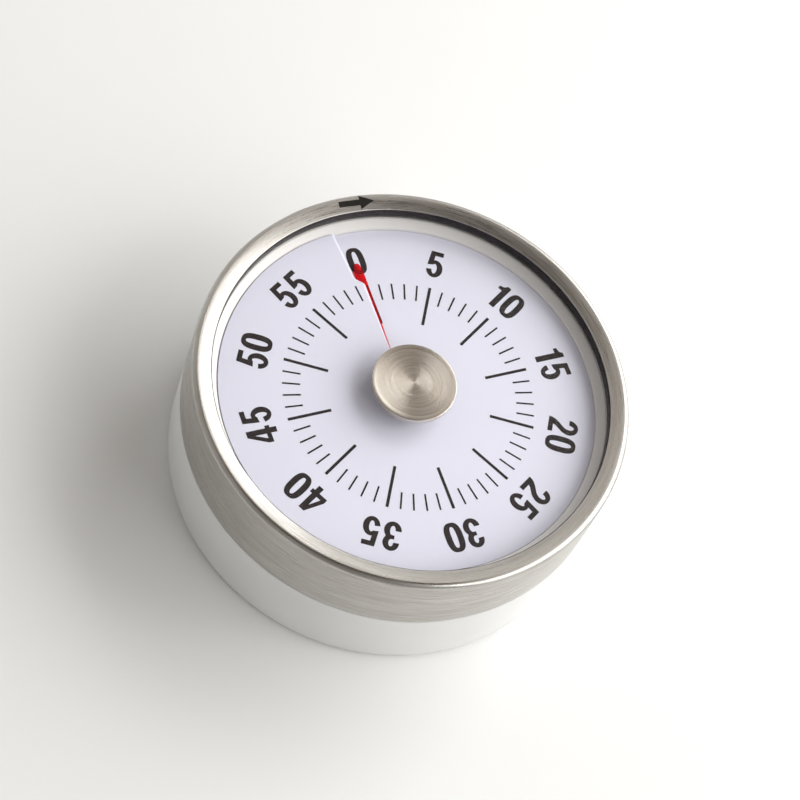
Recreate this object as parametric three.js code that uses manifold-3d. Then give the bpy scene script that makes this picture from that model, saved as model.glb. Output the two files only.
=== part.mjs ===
// A sixty-minute wind-up kitchen timer: a steel ring that turns on a plastic base, a helical dial with
// a red film that winds out of its slit, and the clockwork and bell inside.
// Units are millimetres, +Z is up, the timer lies on its back and the dial's zero mark points to +Y.

import * as THREE from 'three';
import { mergeVertices } from 'three/addons/utils/BufferGeometryUtils.js';
import Module from 'manifold-3d';

const wasm = await Module();
wasm.setup();

// ---- driving dimensions -------------------------------------------------------------------------

const outer_diameter = 78;
const total_height = 30.4;
const ring_height = 14.4;
const seam_gap = 0.4;

const part_gap = 0.3;
const turning_gap = 0.3;
const lift_gap = 0.3;
const cut_margin = 1;

// steel ring
const ring_sheet = 0.8;
const flange_sheet = 0.6;
const lip_width = 3.4;
const lip_fall = 0.5;
const lip_edge_radius = 0.95;
const lip_inner_edge = 0.16;
const flange_depth = 2.2;
const sleeve_wall = 1.5;
const snap_depth = 0.5;
const snap_height = 1.2;
const snap_rise = 0.6;

// window and knob
const window_thickness = 0.6;
const knob_radius = 7.55;
const knob_thickness = 1.2;
const knob_lift = 1.2;
const knob_dish = 0.25;
const knob_edge = 0.3;
const knob_stem_radius = 3.1;
const knob_crown_wall = 0.9;
const knob_dish_share = 0.8;

// dial, film and their carrier
const dial_thickness = 0.3;
const dial_bore_step = 0.2;
const dial_edge_gap = 0.3;
const film_thickness = 0.2;
const film_gap = 0.3;
const film_radius = 23.3;
const pointer_radius = 27.3;
const pointer_width = 1.7;
const film_lead = 0.75;
const hub_radius = 4.6;
const slit_shift = 4.4;
const slit_jog_start = 23.2;
const slit_jog_end = 24.3;
const carrier_floor = 1.2;
const carrier_wall = 0.5;
const carrier_rim_height = 1.7;
const carrier_rim_flat = 0.4;
const carrier_wall_height = 1.8;
const carrier_slope_run = 1.5;
const ramp_width = 5.4;

// base
const housing_wall = 2.2;
const shoulder_thickness = 2.0;
const spigot_wall = 1.3;
const bell_floor_gap = 0.9;
const base_edge_radius = 1.4;
const cover_thickness = 2.0;
const cover_ledge_width = 1.6;
const cover_ledge_height = 1.4;

// magnets and cover screws
const magnet_count = 3;
const magnet_radius = 6;
const magnet_thickness = 1.0;
const magnet_recess = 0.1;
const magnet_circle = 18;
const magnet_angle = 90;
const cover_screw_angle = 30;
const cover_screw_length = 4.6;
const boss_radius = 2.6;
const boss_height = 4.6;
const boss_wall_gap = 0.6;

// movement
const plate_thickness = 1.0;
const plate_edge_gap = 5.3;
const wheel_headroom = 0.6;
const pillar_count = 3;
const pillar_angle = 0;
const pillar_radius = 1.8;
const pillar_inset = 2.2;
const movement_screw_angle = 60;
const movement_screw_inset = 4.5;
const carrier_boss_radius = 2.2;
const screw_shank = 0.8;
const screw_head_radius = 1.7;
const screw_head_height = 0.7;
const thread_depth = 4;
const screw_reach = 3;

// arbors and wheels
const main_arbor_radius = 1.5;
const arbor_radius = 0.8;
const pivot_radius = 0.5;
const wheel_thickness = 0.7;
const pinion_height = 1.7;
const main_teeth = 54;
const main_module = 0.5;
const first_pinion_teeth = 9;
const second_teeth = 48;
const second_module = 0.45;
const second_pinion_teeth = 8;
const third_teeth = 40;
const third_module = 0.4;
const third_pinion_teeth = 8;
const escape_teeth = 18;
const escape_radius = 5;
const strike_teeth = 12;
const strike_radius = 5;
const addendum = 0.8;
const dedendum = 1.2;
const tooth_root_share = 0.34;
const tooth_tip_share = 0.1;
const spoke_count = 3;
const spoke_opening_share = 0.78;
const spoke_opening_taper = 0.6;
const hub_share = 2.4;
const main_rim_depth = 2;
const small_rim_depth = 1.7;
const train_gap = 2.7;

// escapement
const escape_root_share = 0.76;
const escape_tooth_width = 0.5;
const escape_tip_width = 0.12;
const escape_lean = 0.3;
const pallet_distance = 8.1;
const pallet_spread = 48;
const pallet_clearance = 0.75;
const pallet_half_width = 0.6;
const pallet_boss_radius = 1.9;
const balance_arm = 4.6;
const balance_weight_radius = 1.2;
const balance_boss_radius = 1.7;

// clutch spring
const clutch_arms = 3;
const clutch_root_radius = 2.6;
const clutch_tip_radius = 3.9;
const clutch_root_share = 0.5;
const clutch_tip_share = 0.2;
const clutch_thickness = 0.3;

// cam, levers, hammer and bell
const cam_radius = 7;
const cam_thickness = 1.0;
const cam_gap = 0.8;
const cam_steps = 32;
const cam_plate_gap = 0.4;
const notch_depth = 1.6;
const notch_half_angle = 12;
const notch_angle = 135;
const lever_thickness = 0.8;
const lever_half_width = 0.9;
const bell_radius = 26;
const bell_wall = 0.7;
const bell_depth = 4.4;
const bell_corner = 2.4;
const bell_plate_gap = 0.8;
const bell_post_radius = 2.6;
const bell_thread_depth = 2.4;
const bell_screw_reach = 2;
const hammer_head_radius = 1.8;
const hammer_head_height = 2.2;
const strike_gap = 0.4;
const hammer_inset = 3.65;
const hammer_distance = 8.7;
const hammer_head_angle = 189;
const hammer_boss_radius = 1.8;
const hammer_tail_share = 0.8;
const hammer_arm_share = 0.6;
const release_reach = 10.8;
const release_angle = 170;
const strike_root_share = 0.74;
const strike_tooth_width = 0.7;
const strike_tip_width = 0.14;

// wire springs of the levers
const wire_half_width = 0.25;
const hammer_spring_foot = 6.5;
const hammer_spring_foot_turn = 118;
const hammer_spring_tip = 3.4;
const hammer_spring_tip_turn = 150;
const release_spring_foot = 7;
const release_spring_foot_angle = 100;
const release_spring_gap = 5.3;

// mainspring
const spring_turns = 6;
const spring_strip = 0.35;
const spring_width = 3.2;
const spring_inner = 2.4;
const spring_outer = 11.4;
const spring_end_angle = 60;
const spring_post_radius = 0.9;
const spring_post_offset = 1.6;

// roundness of the turned pieces
const outer_segments = 48;
const inner_segments = 40;
const metal_segments = 32;
const magnet_segments = 20;
const small_segments = 12;
const screw_segments = 8;
const spring_turn_segments = 14;
const pointer_steps = 8;

// ---- places worked out from the dimensions -------------------------------------------------------

const outer_radius = outer_diameter / 2;
const dial_rise = dial_thickness + film_thickness + 2 * film_gap;
const ring_bottom = total_height - ring_height;
const base_top = ring_bottom - seam_gap;
const flange_inner = outer_radius - lip_width;
const flange_bottom = total_height - flange_depth;
const window_top = flange_bottom - part_gap;
const window_bottom = window_top - window_thickness;
const dial_high = window_bottom - lift_gap - film_thickness - film_gap;
const dial_low = dial_high - dial_rise;
const floor_top = dial_low + film_gap - dial_rise - part_gap;
const floor_bottom = floor_top - carrier_floor;
const cam_top = floor_bottom - cam_gap;
const cam_bottom = cam_top - cam_thickness;
const front_plate_top = cam_bottom - cam_plate_gap;
const front_plate_bottom = front_plate_top - plate_thickness;
const bell_face = cover_thickness + bell_floor_gap;
const bell_rim = bell_face + bell_depth;
const back_plate_bottom = bell_rim + bell_plate_gap;
const back_plate_top = back_plate_bottom + plate_thickness;

const sleeve_outer = outer_radius - ring_sheet - part_gap;
const sleeve_inner = sleeve_outer - sleeve_wall;
const sleeve_bottom = ring_bottom + seam_gap;
const spigot_outer = sleeve_inner - turning_gap;
const spigot_inner = spigot_outer - spigot_wall;
const carrier_outer = spigot_inner - part_gap;
const carrier_bore = carrier_outer - carrier_wall;
const dial_radius = carrier_bore - dial_edge_gap;
const rim_top = window_bottom - turning_gap;
const rim_bottom = rim_top - carrier_rim_height;
const spigot_top = rim_bottom - part_gap;
const plate_radius = spigot_inner - plate_edge_gap;
const cover_radius = spigot_inner - part_gap;
const film_inner = hub_radius + part_gap;
const dial_inner = film_inner + dial_bore_step;
const arbor_bore = main_arbor_radius + part_gap;
const hub_bottom = floor_top + part_gap;
const hub_top = window_bottom - turning_gap - dial_rise;

// heights of the wheels, from the front plate down
const wheel_step = (wheel_thickness + pinion_height) / 2 + part_gap;
const escape_level = front_plate_bottom - wheel_headroom - wheel_thickness;
const third_level = escape_level - wheel_step;
const second_level = third_level - wheel_step;
const main_level = second_level - wheel_step;
const spring_level = main_level - part_gap - spring_width;
const strike_level = second_level + part_gap;
const balance_level = second_level + wheel_step / 2;

// centres of the arbors, from the main arbor outwards
const first_distance = main_module * (main_teeth + first_pinion_teeth) / 2;
const second_distance = second_module * (second_teeth + second_pinion_teeth) / 2;
const third_distance = third_module * (third_teeth + third_pinion_teeth) / 2;
const main_wheel_tip = main_module * (main_teeth / 2 + addendum);
const train_circle = main_wheel_tip + train_gap;
const second_centre = polar([0, 0], first_distance, -90);
const third_centre = roundFrom(second_centre, second_distance, train_circle);
const escape_centre = roundFrom(third_centre, third_distance, train_circle);
const pallet_centre = roundFrom(escape_centre, pallet_distance, train_circle);
const strike_centre = polar([0, 0], first_distance, notch_angle);
const hammer_circle = bell_radius - bell_wall - hammer_inset;
const hammer_centre = roundFrom(strike_centre, hammer_distance, hammer_circle);
const release_centre = polar([0, 0], cam_radius + release_reach, release_angle);
const hammer_head_circle = bell_radius - bell_wall - strike_gap - hammer_head_radius;
const hammer_head_centre = polar([0, 0], hammer_head_circle, hammer_head_angle);
const spring_post_centre = polar([0, 0], spring_outer + spring_post_offset, spring_end_angle);

// ---- helpers ------------------------------------------------------------------------------------

function radians(degrees) {
  return degrees * Math.PI / 180;
}

function polar(centre, distance, degrees) {
  const x = centre[0] + distance * Math.cos(radians(degrees));
  const y = centre[1] + distance * Math.sin(radians(degrees));
  return [x, y];
}

// the point at a distance from another, on a circle about the main arbor, on the anticlockwise side
function roundFrom(point, distance, circle_radius) {
  const own = Math.hypot(point[0], point[1]);
  const cosine = (own ** 2 + circle_radius ** 2 - distance ** 2) / (2 * own * circle_radius);
  const step = Math.acos(cosine) * 180 / Math.PI;
  return polar([0, 0], circle_radius, directionTo([0, 0], point) + step);
}

function directionTo(from, to) {
  return Math.atan2(to[1] - from[1], to[0] - from[0]) * 180 / Math.PI;
}

// joins the shared vertices, drops the flat triangles at the poles and turns the faces outwards
function tidied(geometry) {
  geometry.deleteAttribute('normal');
  geometry.deleteAttribute('uv');
  const merged = mergeVertices(geometry, 1e-4);
  const places = merged.attributes.position;
  const source = merged.index.array;
  const kept = [];
  const a = new THREE.Vector3();
  const b = new THREE.Vector3();
  const c = new THREE.Vector3();
  let volume = 0;
  for (let i = 0; i < source.length; i += 3) {
    const [p, q, r] = [source[i], source[i + 1], source[i + 2]];
    if (p === q || q === r || r === p) continue;
    kept.push(p, q, r);
    a.fromBufferAttribute(places, p);
    b.fromBufferAttribute(places, q);
    c.fromBufferAttribute(places, r);
    volume += a.dot(b.cross(c));
  }
  if (volume < 0) kept.reverse();
  merged.setIndex(kept);
  return merged;
}

function solidOf(geometry) {
  const closed = tidied(geometry);
  const vertProperties = new Float32Array(closed.attributes.position.array);
  const triVerts = new Uint32Array(closed.index.array);
  return new wasm.Manifold(new wasm.Mesh({ numProp: 3, vertProperties, triVerts }));
}

function geometryOf(solid) {
  const mesh = solid.getMesh();
  const geometry = new THREE.BufferGeometry();
  geometry.setAttribute('position', new THREE.BufferAttribute(new Float32Array(mesh.vertProperties), 3));
  geometry.setIndex(Array.from(mesh.triVerts));
  return geometry;
}

function joined(first, ...others) {
  return geometryOf(others.reduce((sum, other) => sum.add(solidOf(other)), solidOf(first)));
}

function cut(first, ...others) {
  return geometryOf(others.reduce((rest, other) => rest.subtract(solidOf(other)), solidOf(first)));
}

// turns an outline of [radius, height] points round the vertical axis
function turned(outline, segments) {
  const points = outline.map(([radius, height]) => new THREE.Vector2(radius, height));
  const geometry = new THREE.LatheGeometry(points, segments);
  geometry.rotateX(Math.PI / 2);
  return tidied(geometry);
}

// a ring of rectangular section
function collar(inner, outer, bottom, top, segments) {
  return turned([[inner, bottom], [outer, bottom], [outer, top], [inner, top], [inner, bottom]], segments);
}

// a plain round bar standing at a centre
function post(centre, radius, bottom, top, segments = small_segments) {
  const outline = [[0, bottom], [radius, bottom], [radius, top], [0, top]];
  return turned(outline, segments).translate(centre[0], centre[1], 0);
}

// a round arc of [radius, height] points about a corner centre
function arc(centre, radius, from, to, steps) {
  const points = [];
  for (let i = 0; i <= steps; i += 1) {
    points.push(polar(centre, radius, from + (to - from) * i / steps));
  }
  return points;
}

function circle(centre, radius, count) {
  const points = [];
  for (let i = 0; i < count; i += 1) {
    points.push(new THREE.Vector2(...polar(centre, radius, 360 * i / count)));
  }
  return points;
}

// raises a flat outline, with holes if it has them, from one height to another
function raised(outline, holes, bottom, top) {
  const shape = new THREE.Shape(outline);
  for (const hole of holes) shape.holes.push(new THREE.Path(hole));
  const geometry = new THREE.ExtrudeGeometry(shape, { depth: top - bottom, bevelEnabled: false });
  geometry.translate(0, 0, bottom);
  return tidied(geometry);
}

// a bar with round ends between two centres
function barOutline(from, to, half_width, end_steps = 6) {
  const heading = directionTo(from, to);
  const far_end = arc(to, half_width, heading - 90, heading + 90, end_steps);
  const near_end = arc(from, half_width, heading + 90, heading + 270, end_steps);
  return [...far_end, ...near_end].map((point) => new THREE.Vector2(...point));
}

// an outline of straight-sided teeth; the widths are shares of the tooth pitch
function toothedOutline({ teeth, root, tip, root_share, tip_share, lean = 0, phase = 0 }) {
  const pitch = 360 / teeth;
  const points = [];
  for (let i = 0; i < teeth; i += 1) {
    const middle = phase + i * pitch;
    const corners = [
      [root, middle - pitch * root_share / 2],
      [tip, middle + pitch * (lean - tip_share / 2)],
      [tip, middle + pitch * (lean + tip_share / 2)],
      [root, middle + pitch * root_share / 2],
    ];
    for (const [radius, angle] of corners) {
      points.push(new THREE.Vector2(...polar([0, 0], radius, angle)));
    }
  }
  return points;
}

function gearOutline(teeth, module_size, phase) {
  const pitch_radius = teeth * module_size / 2;
  return toothedOutline({
    teeth,
    root: pitch_radius - dedendum * module_size,
    tip: pitch_radius + addendum * module_size,
    root_share: tooth_root_share,
    tip_share: tooth_tip_share,
    phase,
  });
}

// the openings between a wheel's spokes
function spokeOpenings(count, hub, rim, share) {
  const openings = [];
  for (let i = 0; i < count; i += 1) {
    const middle = 360 * (i + 0.5) / count;
    const reach = 180 * share / count;
    const outside = arc([0, 0], rim, middle - reach, middle + reach, 4);
    const inner_reach = reach * spoke_opening_taper;
    const inside = arc([0, 0], hub, middle + inner_reach, middle - inner_reach, 1);
    openings.push([...outside, ...inside].map((point) => new THREE.Vector2(...point)));
  }
  return openings;
}

function spokedWheel(outline, bore, hub, rim, bottom) {
  const openings = spokeOpenings(spoke_count, hub, rim, spoke_opening_share);
  const holes = [circle([0, 0], bore, small_segments), ...openings];
  return raised(outline, holes, bottom, bottom + wheel_thickness);
}

function evenSteps(start, end, steps) {
  return Array.from({ length: steps + 1 }, (_, i) => start + (end - start) * i / steps);
}

// a slab on the dial's helix: turns are its clockwise stations, and radii gives the places across one
function helicalSlab({ turns, radii, shift, bottom, top }) {
  const steps = turns.length - 1;
  const rows = turns.map((turn) => radii(turn).map((radius) => ({ radius, turn: turn + shift(radius) })));
  const across = rows[0].length;
  const last = across - 1;
  const positions = [];
  for (const height of [bottom, top]) {
    for (const row of rows) {
      for (const { radius, turn } of row) positions.push(...polar([0, 0], radius, 90 - turn), height(turn));
    }
  }
  const place = (layer, i, j) => layer * rows.length * across + i * across + j;
  const index = [];
  const quad = (a, b, c, d) => index.push(a, b, c, a, c, d);
  for (let i = 0; i < steps; i += 1) {
    for (let j = 0; j < last; j += 1) {
      quad(place(0, i, j), place(0, i, j + 1), place(0, i + 1, j + 1), place(0, i + 1, j));
      quad(place(1, i, j), place(1, i + 1, j), place(1, i + 1, j + 1), place(1, i, j + 1));
    }
    quad(place(0, i, 0), place(0, i + 1, 0), place(1, i + 1, 0), place(1, i, 0));
    quad(place(0, i, last), place(1, i, last), place(1, i + 1, last), place(0, i + 1, last));
  }
  for (let j = 0; j < last; j += 1) {
    quad(place(0, 0, j), place(1, 0, j), place(1, 0, j + 1), place(0, 0, j + 1));
    quad(place(0, steps, j), place(0, steps, j + 1), place(1, steps, j + 1), place(1, steps, j));
  }
  const geometry = new THREE.BufferGeometry();
  geometry.setAttribute('position', new THREE.Float32BufferAttribute(positions, 3));
  geometry.setIndex(index);
  return tidied(geometry);
}

// height of the dial's upper face at a clockwise turn from zero
function dialHeight(turn) {
  return dial_low + dial_rise * turn / 360;
}

// ---- finishes -----------------------------------------------------------------------------------

function finish(color, roughness, metalness, opacity = 1) {
  return new THREE.MeshStandardMaterial({ color, roughness, metalness, opacity, transparent: opacity < 1 });
}

const white_plastic = finish(0xececea, 0.55, 0);
const dial_white = finish(0xe6e6f0, 0.6, 0);
const red_film = finish(0xd01020, 0.35, 0, 0.8);
const clear_window = finish(0xffffff, 0.05, 0, 0.2);
const brushed_steel = finish(0xb9b4ab, 0.32, 1);
const arbor_steel = finish(0x9a9a9c, 0.3, 1);
const spring_steel = finish(0x5c6470, 0.3, 1);
const brass = finish(0xc9a24c, 0.3, 1);
const bell_metal = finish(0xc4c6c8, 0.15, 1);
const ferrite = finish(0x2e2e30, 0.7, 0.2);

// ---- case and ring ------------------------------------------------------------------------------

function screwBossCentres() {
  const distance = spigot_inner - boss_radius - boss_wall_gap;
  return [0, 1, 2].map((i) => polar([0, 0], distance, cover_screw_angle + 120 * i));
}

function makeBaseHousing() {
  const ledge_bottom = cover_thickness + part_gap;
  const ledge_top = ledge_bottom + cover_ledge_height;
  const groove_bottom = sleeve_bottom + snap_rise - turning_gap;
  const groove_top = groove_bottom + snap_height + 2 * turning_gap;
  const groove_radius = spigot_outer - snap_depth;
  const wall_inside = outer_radius - housing_wall;
  const ledge_inside = spigot_inner - cover_ledge_width;
  const shoulder_bottom = base_top - shoulder_thickness;
  const wall = turned([
    [spigot_inner, 0],
    ...arc([outer_radius - base_edge_radius, base_edge_radius], base_edge_radius, -90, 0, 3),
    [outer_radius, base_top],
    [spigot_outer, base_top],
    [spigot_outer, groove_bottom],
    [groove_radius, groove_bottom],
    [groove_radius, groove_top],
    [spigot_outer, groove_top],
    [spigot_outer, spigot_top],
    [spigot_inner, spigot_top],
    [spigot_inner, shoulder_bottom],
    [wall_inside, shoulder_bottom],
    [wall_inside, ledge_top],
    [ledge_inside, ledge_top],
    [ledge_inside, ledge_bottom],
    [spigot_inner, ledge_bottom],
    [spigot_inner, 0],
  ], outer_segments);
  const boss_top = ledge_bottom + boss_height;
  const hole_top = cover_screw_length + cut_margin;
  const bosses = screwBossCentres().map((centre) => post(centre, boss_radius, ledge_bottom, boss_top));
  const holes = screwBossCentres().map((centre) => post(centre, screw_shank + part_gap, 0, hole_top));
  return cut(joined(wall, ...bosses), ...holes);
}

function makeBackCover() {
  const disc = post([0, 0], cover_radius, 0, cover_thickness, outer_segments);
  const pocket_depth = magnet_recess + magnet_thickness + part_gap;
  const pocket_radius = magnet_radius + part_gap;
  const head_depth = screw_head_height + part_gap + magnet_recess;
  const pockets = magnetCentres().map((centre) => (
    post(centre, pocket_radius, -cut_margin, pocket_depth, magnet_segments)
  ));
  const screw_holes = screwBossCentres().flatMap((centre) => [
    post(centre, screw_shank + part_gap, -cut_margin, cover_thickness + cut_margin, screw_segments),
    post(centre, screw_head_radius + part_gap, -cut_margin, head_depth, screw_segments),
  ]);
  return cut(disc, ...pockets, ...screw_holes);
}

function magnetCentres() {
  const spacing = 360 / magnet_count;
  const place = (_, i) => polar([0, 0], magnet_circle, magnet_angle + spacing * i);
  return Array.from({ length: magnet_count }, place);
}

function makeMagnet(centre) {
  return post(centre, magnet_radius, magnet_recess, magnet_recess + magnet_thickness, magnet_segments);
}

// a screw whose head lies at head_z and whose shank runs to tip_z
function makeScrew(centre, head_z, shank_z, tip_z) {
  return turned([
    [0, head_z],
    [screw_head_radius, head_z],
    [screw_head_radius, shank_z],
    [screw_shank, shank_z],
    [screw_shank, tip_z],
    [0, tip_z],
  ], screw_segments).translate(centre[0], centre[1], 0);
}

function makeCoverScrew(centre) {
  return makeScrew(centre, magnet_recess, magnet_recess + screw_head_height, cover_screw_length);
}

function makeSteelRing() {
  const crown_radius = outer_radius - lip_edge_radius;
  const inner_z = total_height - lip_fall;
  const flange_outer = flange_inner + flange_sheet;
  const inside_top = inner_z - ring_sheet;
  return turned([
    [outer_radius - ring_sheet, ring_bottom],
    [outer_radius, ring_bottom],
    ...arc([crown_radius, total_height - lip_edge_radius], lip_edge_radius, 0, 90, 4),
    [flange_inner + lip_inner_edge, inner_z],
    [flange_inner, inner_z - lip_inner_edge],
    [flange_inner, flange_bottom],
    [flange_outer, flange_bottom],
    [flange_outer, inside_top],
    [outer_radius - ring_sheet, inside_top],
    [outer_radius - ring_sheet, ring_bottom],
  ], outer_segments);
}

function makeRingSleeve() {
  const top = total_height - lip_fall - ring_sheet - part_gap;
  const window_seat = flange_inner + flange_sheet + part_gap;
  const hook_bottom = sleeve_bottom + snap_rise;
  return turned([
    [sleeve_inner, sleeve_bottom],
    [sleeve_outer, sleeve_bottom],
    [sleeve_outer, top],
    [Math.max(window_seat, sleeve_inner), top],
    [sleeve_inner, window_bottom - part_gap],
    [sleeve_inner, hook_bottom + snap_height],
    [sleeve_inner - snap_depth, hook_bottom + snap_height - snap_depth / 2],
    [sleeve_inner - snap_depth, hook_bottom],
    [sleeve_inner, hook_bottom],
    [sleeve_inner, sleeve_bottom],
  ], outer_segments);
}

function makeWindow() {
  const rim = sleeve_inner - part_gap;
  return collar(knob_stem_radius + part_gap, rim, window_bottom, window_top, outer_segments);
}

function makeKnob() {
  const cap_bottom = window_top + knob_lift;
  const cap_top = cap_bottom + knob_thickness;
  return turned([
    [arbor_bore, window_bottom],
    [knob_stem_radius, window_bottom],
    [knob_stem_radius, cap_bottom],
    [knob_radius - knob_edge, cap_bottom],
    [knob_radius, cap_bottom + knob_edge],
    [knob_radius, cap_top - knob_edge],
    [knob_radius - knob_edge, cap_top],
    [knob_radius / 2, cap_top - knob_dish * knob_dish_share],
    [0, cap_top - knob_dish],
    [0, cap_top - knob_crown_wall],
    [arbor_bore, cap_top - knob_crown_wall],
    [arbor_bore, window_bottom],
  ], metal_segments);
}

// ---- dial and film ------------------------------------------------------------------------------

function smoothStep(from, to, value) {
  const share = Math.min(Math.max((value - from) / (to - from), 0), 1);
  return share * share * (3 - 2 * share);
}

// the slit jogs anticlockwise outside the film's circle, so that the pointer stays in sight
function slitShift(radius) {
  return -slit_shift * smoothStep(slit_jog_start, slit_jog_end, radius);
}

function makeDial() {
  const radii = [dial_inner, slit_jog_start, slit_jog_end, dial_radius];
  return helicalSlab({
    turns: evenSteps(0, 360, inner_segments),
    radii: () => radii,
    shift: slitShift,
    bottom: (turn) => dialHeight(turn) - dial_thickness,
    top: dialHeight,
  });
}

// the film's outer radius: a plain arc, with the rounded pointer standing out at its leading edge
function filmOuter(turn, pointer_start, pointer_end) {
  const across = (turn - pointer_start) / (pointer_end - pointer_start);
  if (across <= 0) return film_radius;
  const roundness = Math.sqrt(Math.max(1 - Math.abs(2 * across - 1) ** 4, 0));
  return film_radius + (pointer_radius - film_radius) * roundness;
}

function makeTimeFilm() {
  const pointer_end = film_lead / film_radius * 180 / Math.PI;
  const pointer_span = 2 * pointer_width / (film_radius + pointer_radius) * 180 / Math.PI;
  const pointer_start = pointer_end - pointer_span;
  const sweep = evenSteps(-360, pointer_start, inner_segments);
  const pointer = evenSteps(pointer_start, pointer_end, pointer_steps).slice(1);
  return helicalSlab({
    turns: [...sweep, ...pointer],
    radii: (turn) => [film_inner, filmOuter(turn, pointer_start, pointer_end)],
    shift: () => 0,
    bottom: (turn) => dialHeight(turn) + film_gap,
    top: (turn) => dialHeight(turn) + film_gap + film_thickness,
  });
}

function makeFilmHub() {
  return collar(arbor_bore, hub_radius, hub_bottom, hub_top, inner_segments / 2);
}

function makeDialCarrier() {
  const wall_top = floor_top + carrier_wall_height;
  const rim_outer = spigot_outer - part_gap / 2;
  const slope_top = Math.min(carrier_bore + carrier_slope_run, rim_outer - carrier_rim_flat);
  const cup = turned([
    [arbor_bore, floor_bottom],
    [carrier_outer, floor_bottom],
    [carrier_outer, rim_bottom],
    [rim_outer, rim_bottom],
    [rim_outer, rim_top],
    [slope_top, rim_top],
    [carrier_bore, wall_top],
    [carrier_bore, floor_top],
    [arbor_bore, floor_top],
    [arbor_bore, floor_bottom],
  ], inner_segments);
  const seat_outer = carrier_bore + carrier_wall / 2;
  const ramp = helicalSlab({
    turns: evenSteps(0, 360 - slit_shift, inner_segments),
    radii: () => [dial_radius - ramp_width, seat_outer],
    shift: () => -slit_shift / 2,
    bottom: () => floor_top - carrier_floor / 2,
    top: (turn) => dialHeight(turn) - dial_thickness - part_gap,
  });
  const bosses = movementScrewCentres().map((centre) => (
    post(centre, carrier_boss_radius, front_plate_top + part_gap, floor_top - carrier_floor / 2)
  ));
  const holes = movementScrewCentres().map((centre) => (
    post(centre, screw_shank + part_gap, front_plate_top, floor_bottom, screw_segments)
  ));
  return cut(joined(cup, ramp, ...bosses), ...holes);
}

// ---- movement -----------------------------------------------------------------------------------

function pillarCentres() {
  const spacing = 360 / pillar_count;
  const distance = plate_radius - pillar_inset;
  return Array.from({ length: pillar_count }, (_, i) => polar([0, 0], distance, pillar_angle + spacing * i));
}

function movementScrewCentres() {
  const spacing = 360 / pillar_count;
  return Array.from({ length: pillar_count }, (_, i) => (
    polar([0, 0], plate_radius - movement_screw_inset, movement_screw_angle + spacing * i)
  ));
}

function arborCentres() {
  return [second_centre, third_centre, escape_centre, pallet_centre, strike_centre, hammer_centre];
}

function makeFrontPlate() {
  const pivot_holes = arborCentres().map((centre) => circle(centre, pivot_radius + part_gap, screw_segments));
  const screw_places = [...pillarCentres(), ...movementScrewCentres(), release_centre];
  const screw_holes = screw_places.map((centre) => circle(centre, screw_shank + part_gap, screw_segments));
  const arbor_hole = circle([0, 0], arbor_bore, small_segments);
  const holes = [...pivot_holes, ...screw_holes, arbor_hole];
  return raised(circle([0, 0], plate_radius, metal_segments), holes, front_plate_bottom, front_plate_top);
}

function makeBackPlate() {
  const plain = arborCentres().filter((centre) => centre !== hammer_centre);
  const holes = plain.map((centre) => circle(centre, pivot_radius + part_gap, screw_segments));
  holes.push(circle(hammer_centre, arbor_radius + part_gap, small_segments));
  holes.push(circle([0, 0], arbor_radius + part_gap, small_segments));
  return raised(circle([0, 0], plate_radius, metal_segments), holes, back_plate_bottom, back_plate_top);
}

function makePillar(centre) {
  const tube = post(centre, pillar_radius, back_plate_top + part_gap, front_plate_bottom - part_gap);
  const thread_bottom = front_plate_bottom - thread_depth;
  const thread = post(centre, screw_shank + part_gap, thread_bottom, front_plate_bottom, screw_segments);
  return cut(tube, thread);
}

function makePlateScrew(centre) {
  const under_head = front_plate_top + part_gap;
  return makeScrew(centre, under_head + screw_head_height, under_head, front_plate_bottom - screw_reach);
}

function makeMovementScrew(centre) {
  const under_head = front_plate_bottom - part_gap;
  return makeScrew(centre, under_head - screw_head_height, under_head, floor_bottom - part_gap);
}

function makeMainArbor() {
  const shoulder = back_plate_top + part_gap;
  const tip = window_top + knob_lift + knob_thickness - knob_crown_wall - part_gap;
  return turned([
    [0, back_plate_bottom + part_gap],
    [arbor_radius, back_plate_bottom + part_gap],
    [arbor_radius, shoulder],
    [main_arbor_radius, shoulder],
    [main_arbor_radius, tip],
    [0, tip],
  ], small_segments);
}

// a wheel's phase is the direction of the pinion that it drives, where it has a tooth, and this is the
// pinion's phase, which has a gap there
function gapPhase(toward, teeth) {
  return toward + 180 / teeth;
}

function makeMainWheel() {
  const phase = directionTo([0, 0], second_centre);
  const outline = gearOutline(main_teeth, main_module, phase);
  const rim = main_teeth * main_module / 2 - main_rim_depth;
  return spokedWheel(outline, arbor_bore, main_arbor_radius * hub_share, rim, main_level);
}

function makeClutchSpring() {
  const outline = toothedOutline({
    teeth: clutch_arms,
    root: clutch_root_radius,
    tip: clutch_tip_radius,
    root_share: clutch_root_share,
    tip_share: clutch_tip_share,
  });
  const bottom = main_level + wheel_thickness + part_gap;
  return raised(outline, [circle([0, 0], arbor_bore, small_segments)], bottom, bottom + clutch_thickness);
}

// an arbor between the plates, turned down to pivots at its ends, with a pinion cut on it
function makeArbor(centre, bottom = back_plate_bottom + part_gap) {
  const low_shoulder = back_plate_top + part_gap;
  const high_shoulder = front_plate_bottom - part_gap;
  return turned([
    [0, bottom],
    [pivot_radius, bottom],
    [pivot_radius, low_shoulder],
    [arbor_radius, low_shoulder],
    [arbor_radius, high_shoulder],
    [pivot_radius, high_shoulder],
    [pivot_radius, front_plate_top - part_gap],
    [0, front_plate_top - part_gap],
  ], screw_segments).translate(centre[0], centre[1], 0);
}

function makePinionArbor(centre, teeth, module_size, level, phase) {
  const bottom = level + (wheel_thickness - pinion_height) / 2;
  const pinion = raised(gearOutline(teeth, module_size, phase), [], bottom, bottom + pinion_height);
  return joined(makeArbor(centre), pinion.translate(centre[0], centre[1], 0));
}

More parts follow.
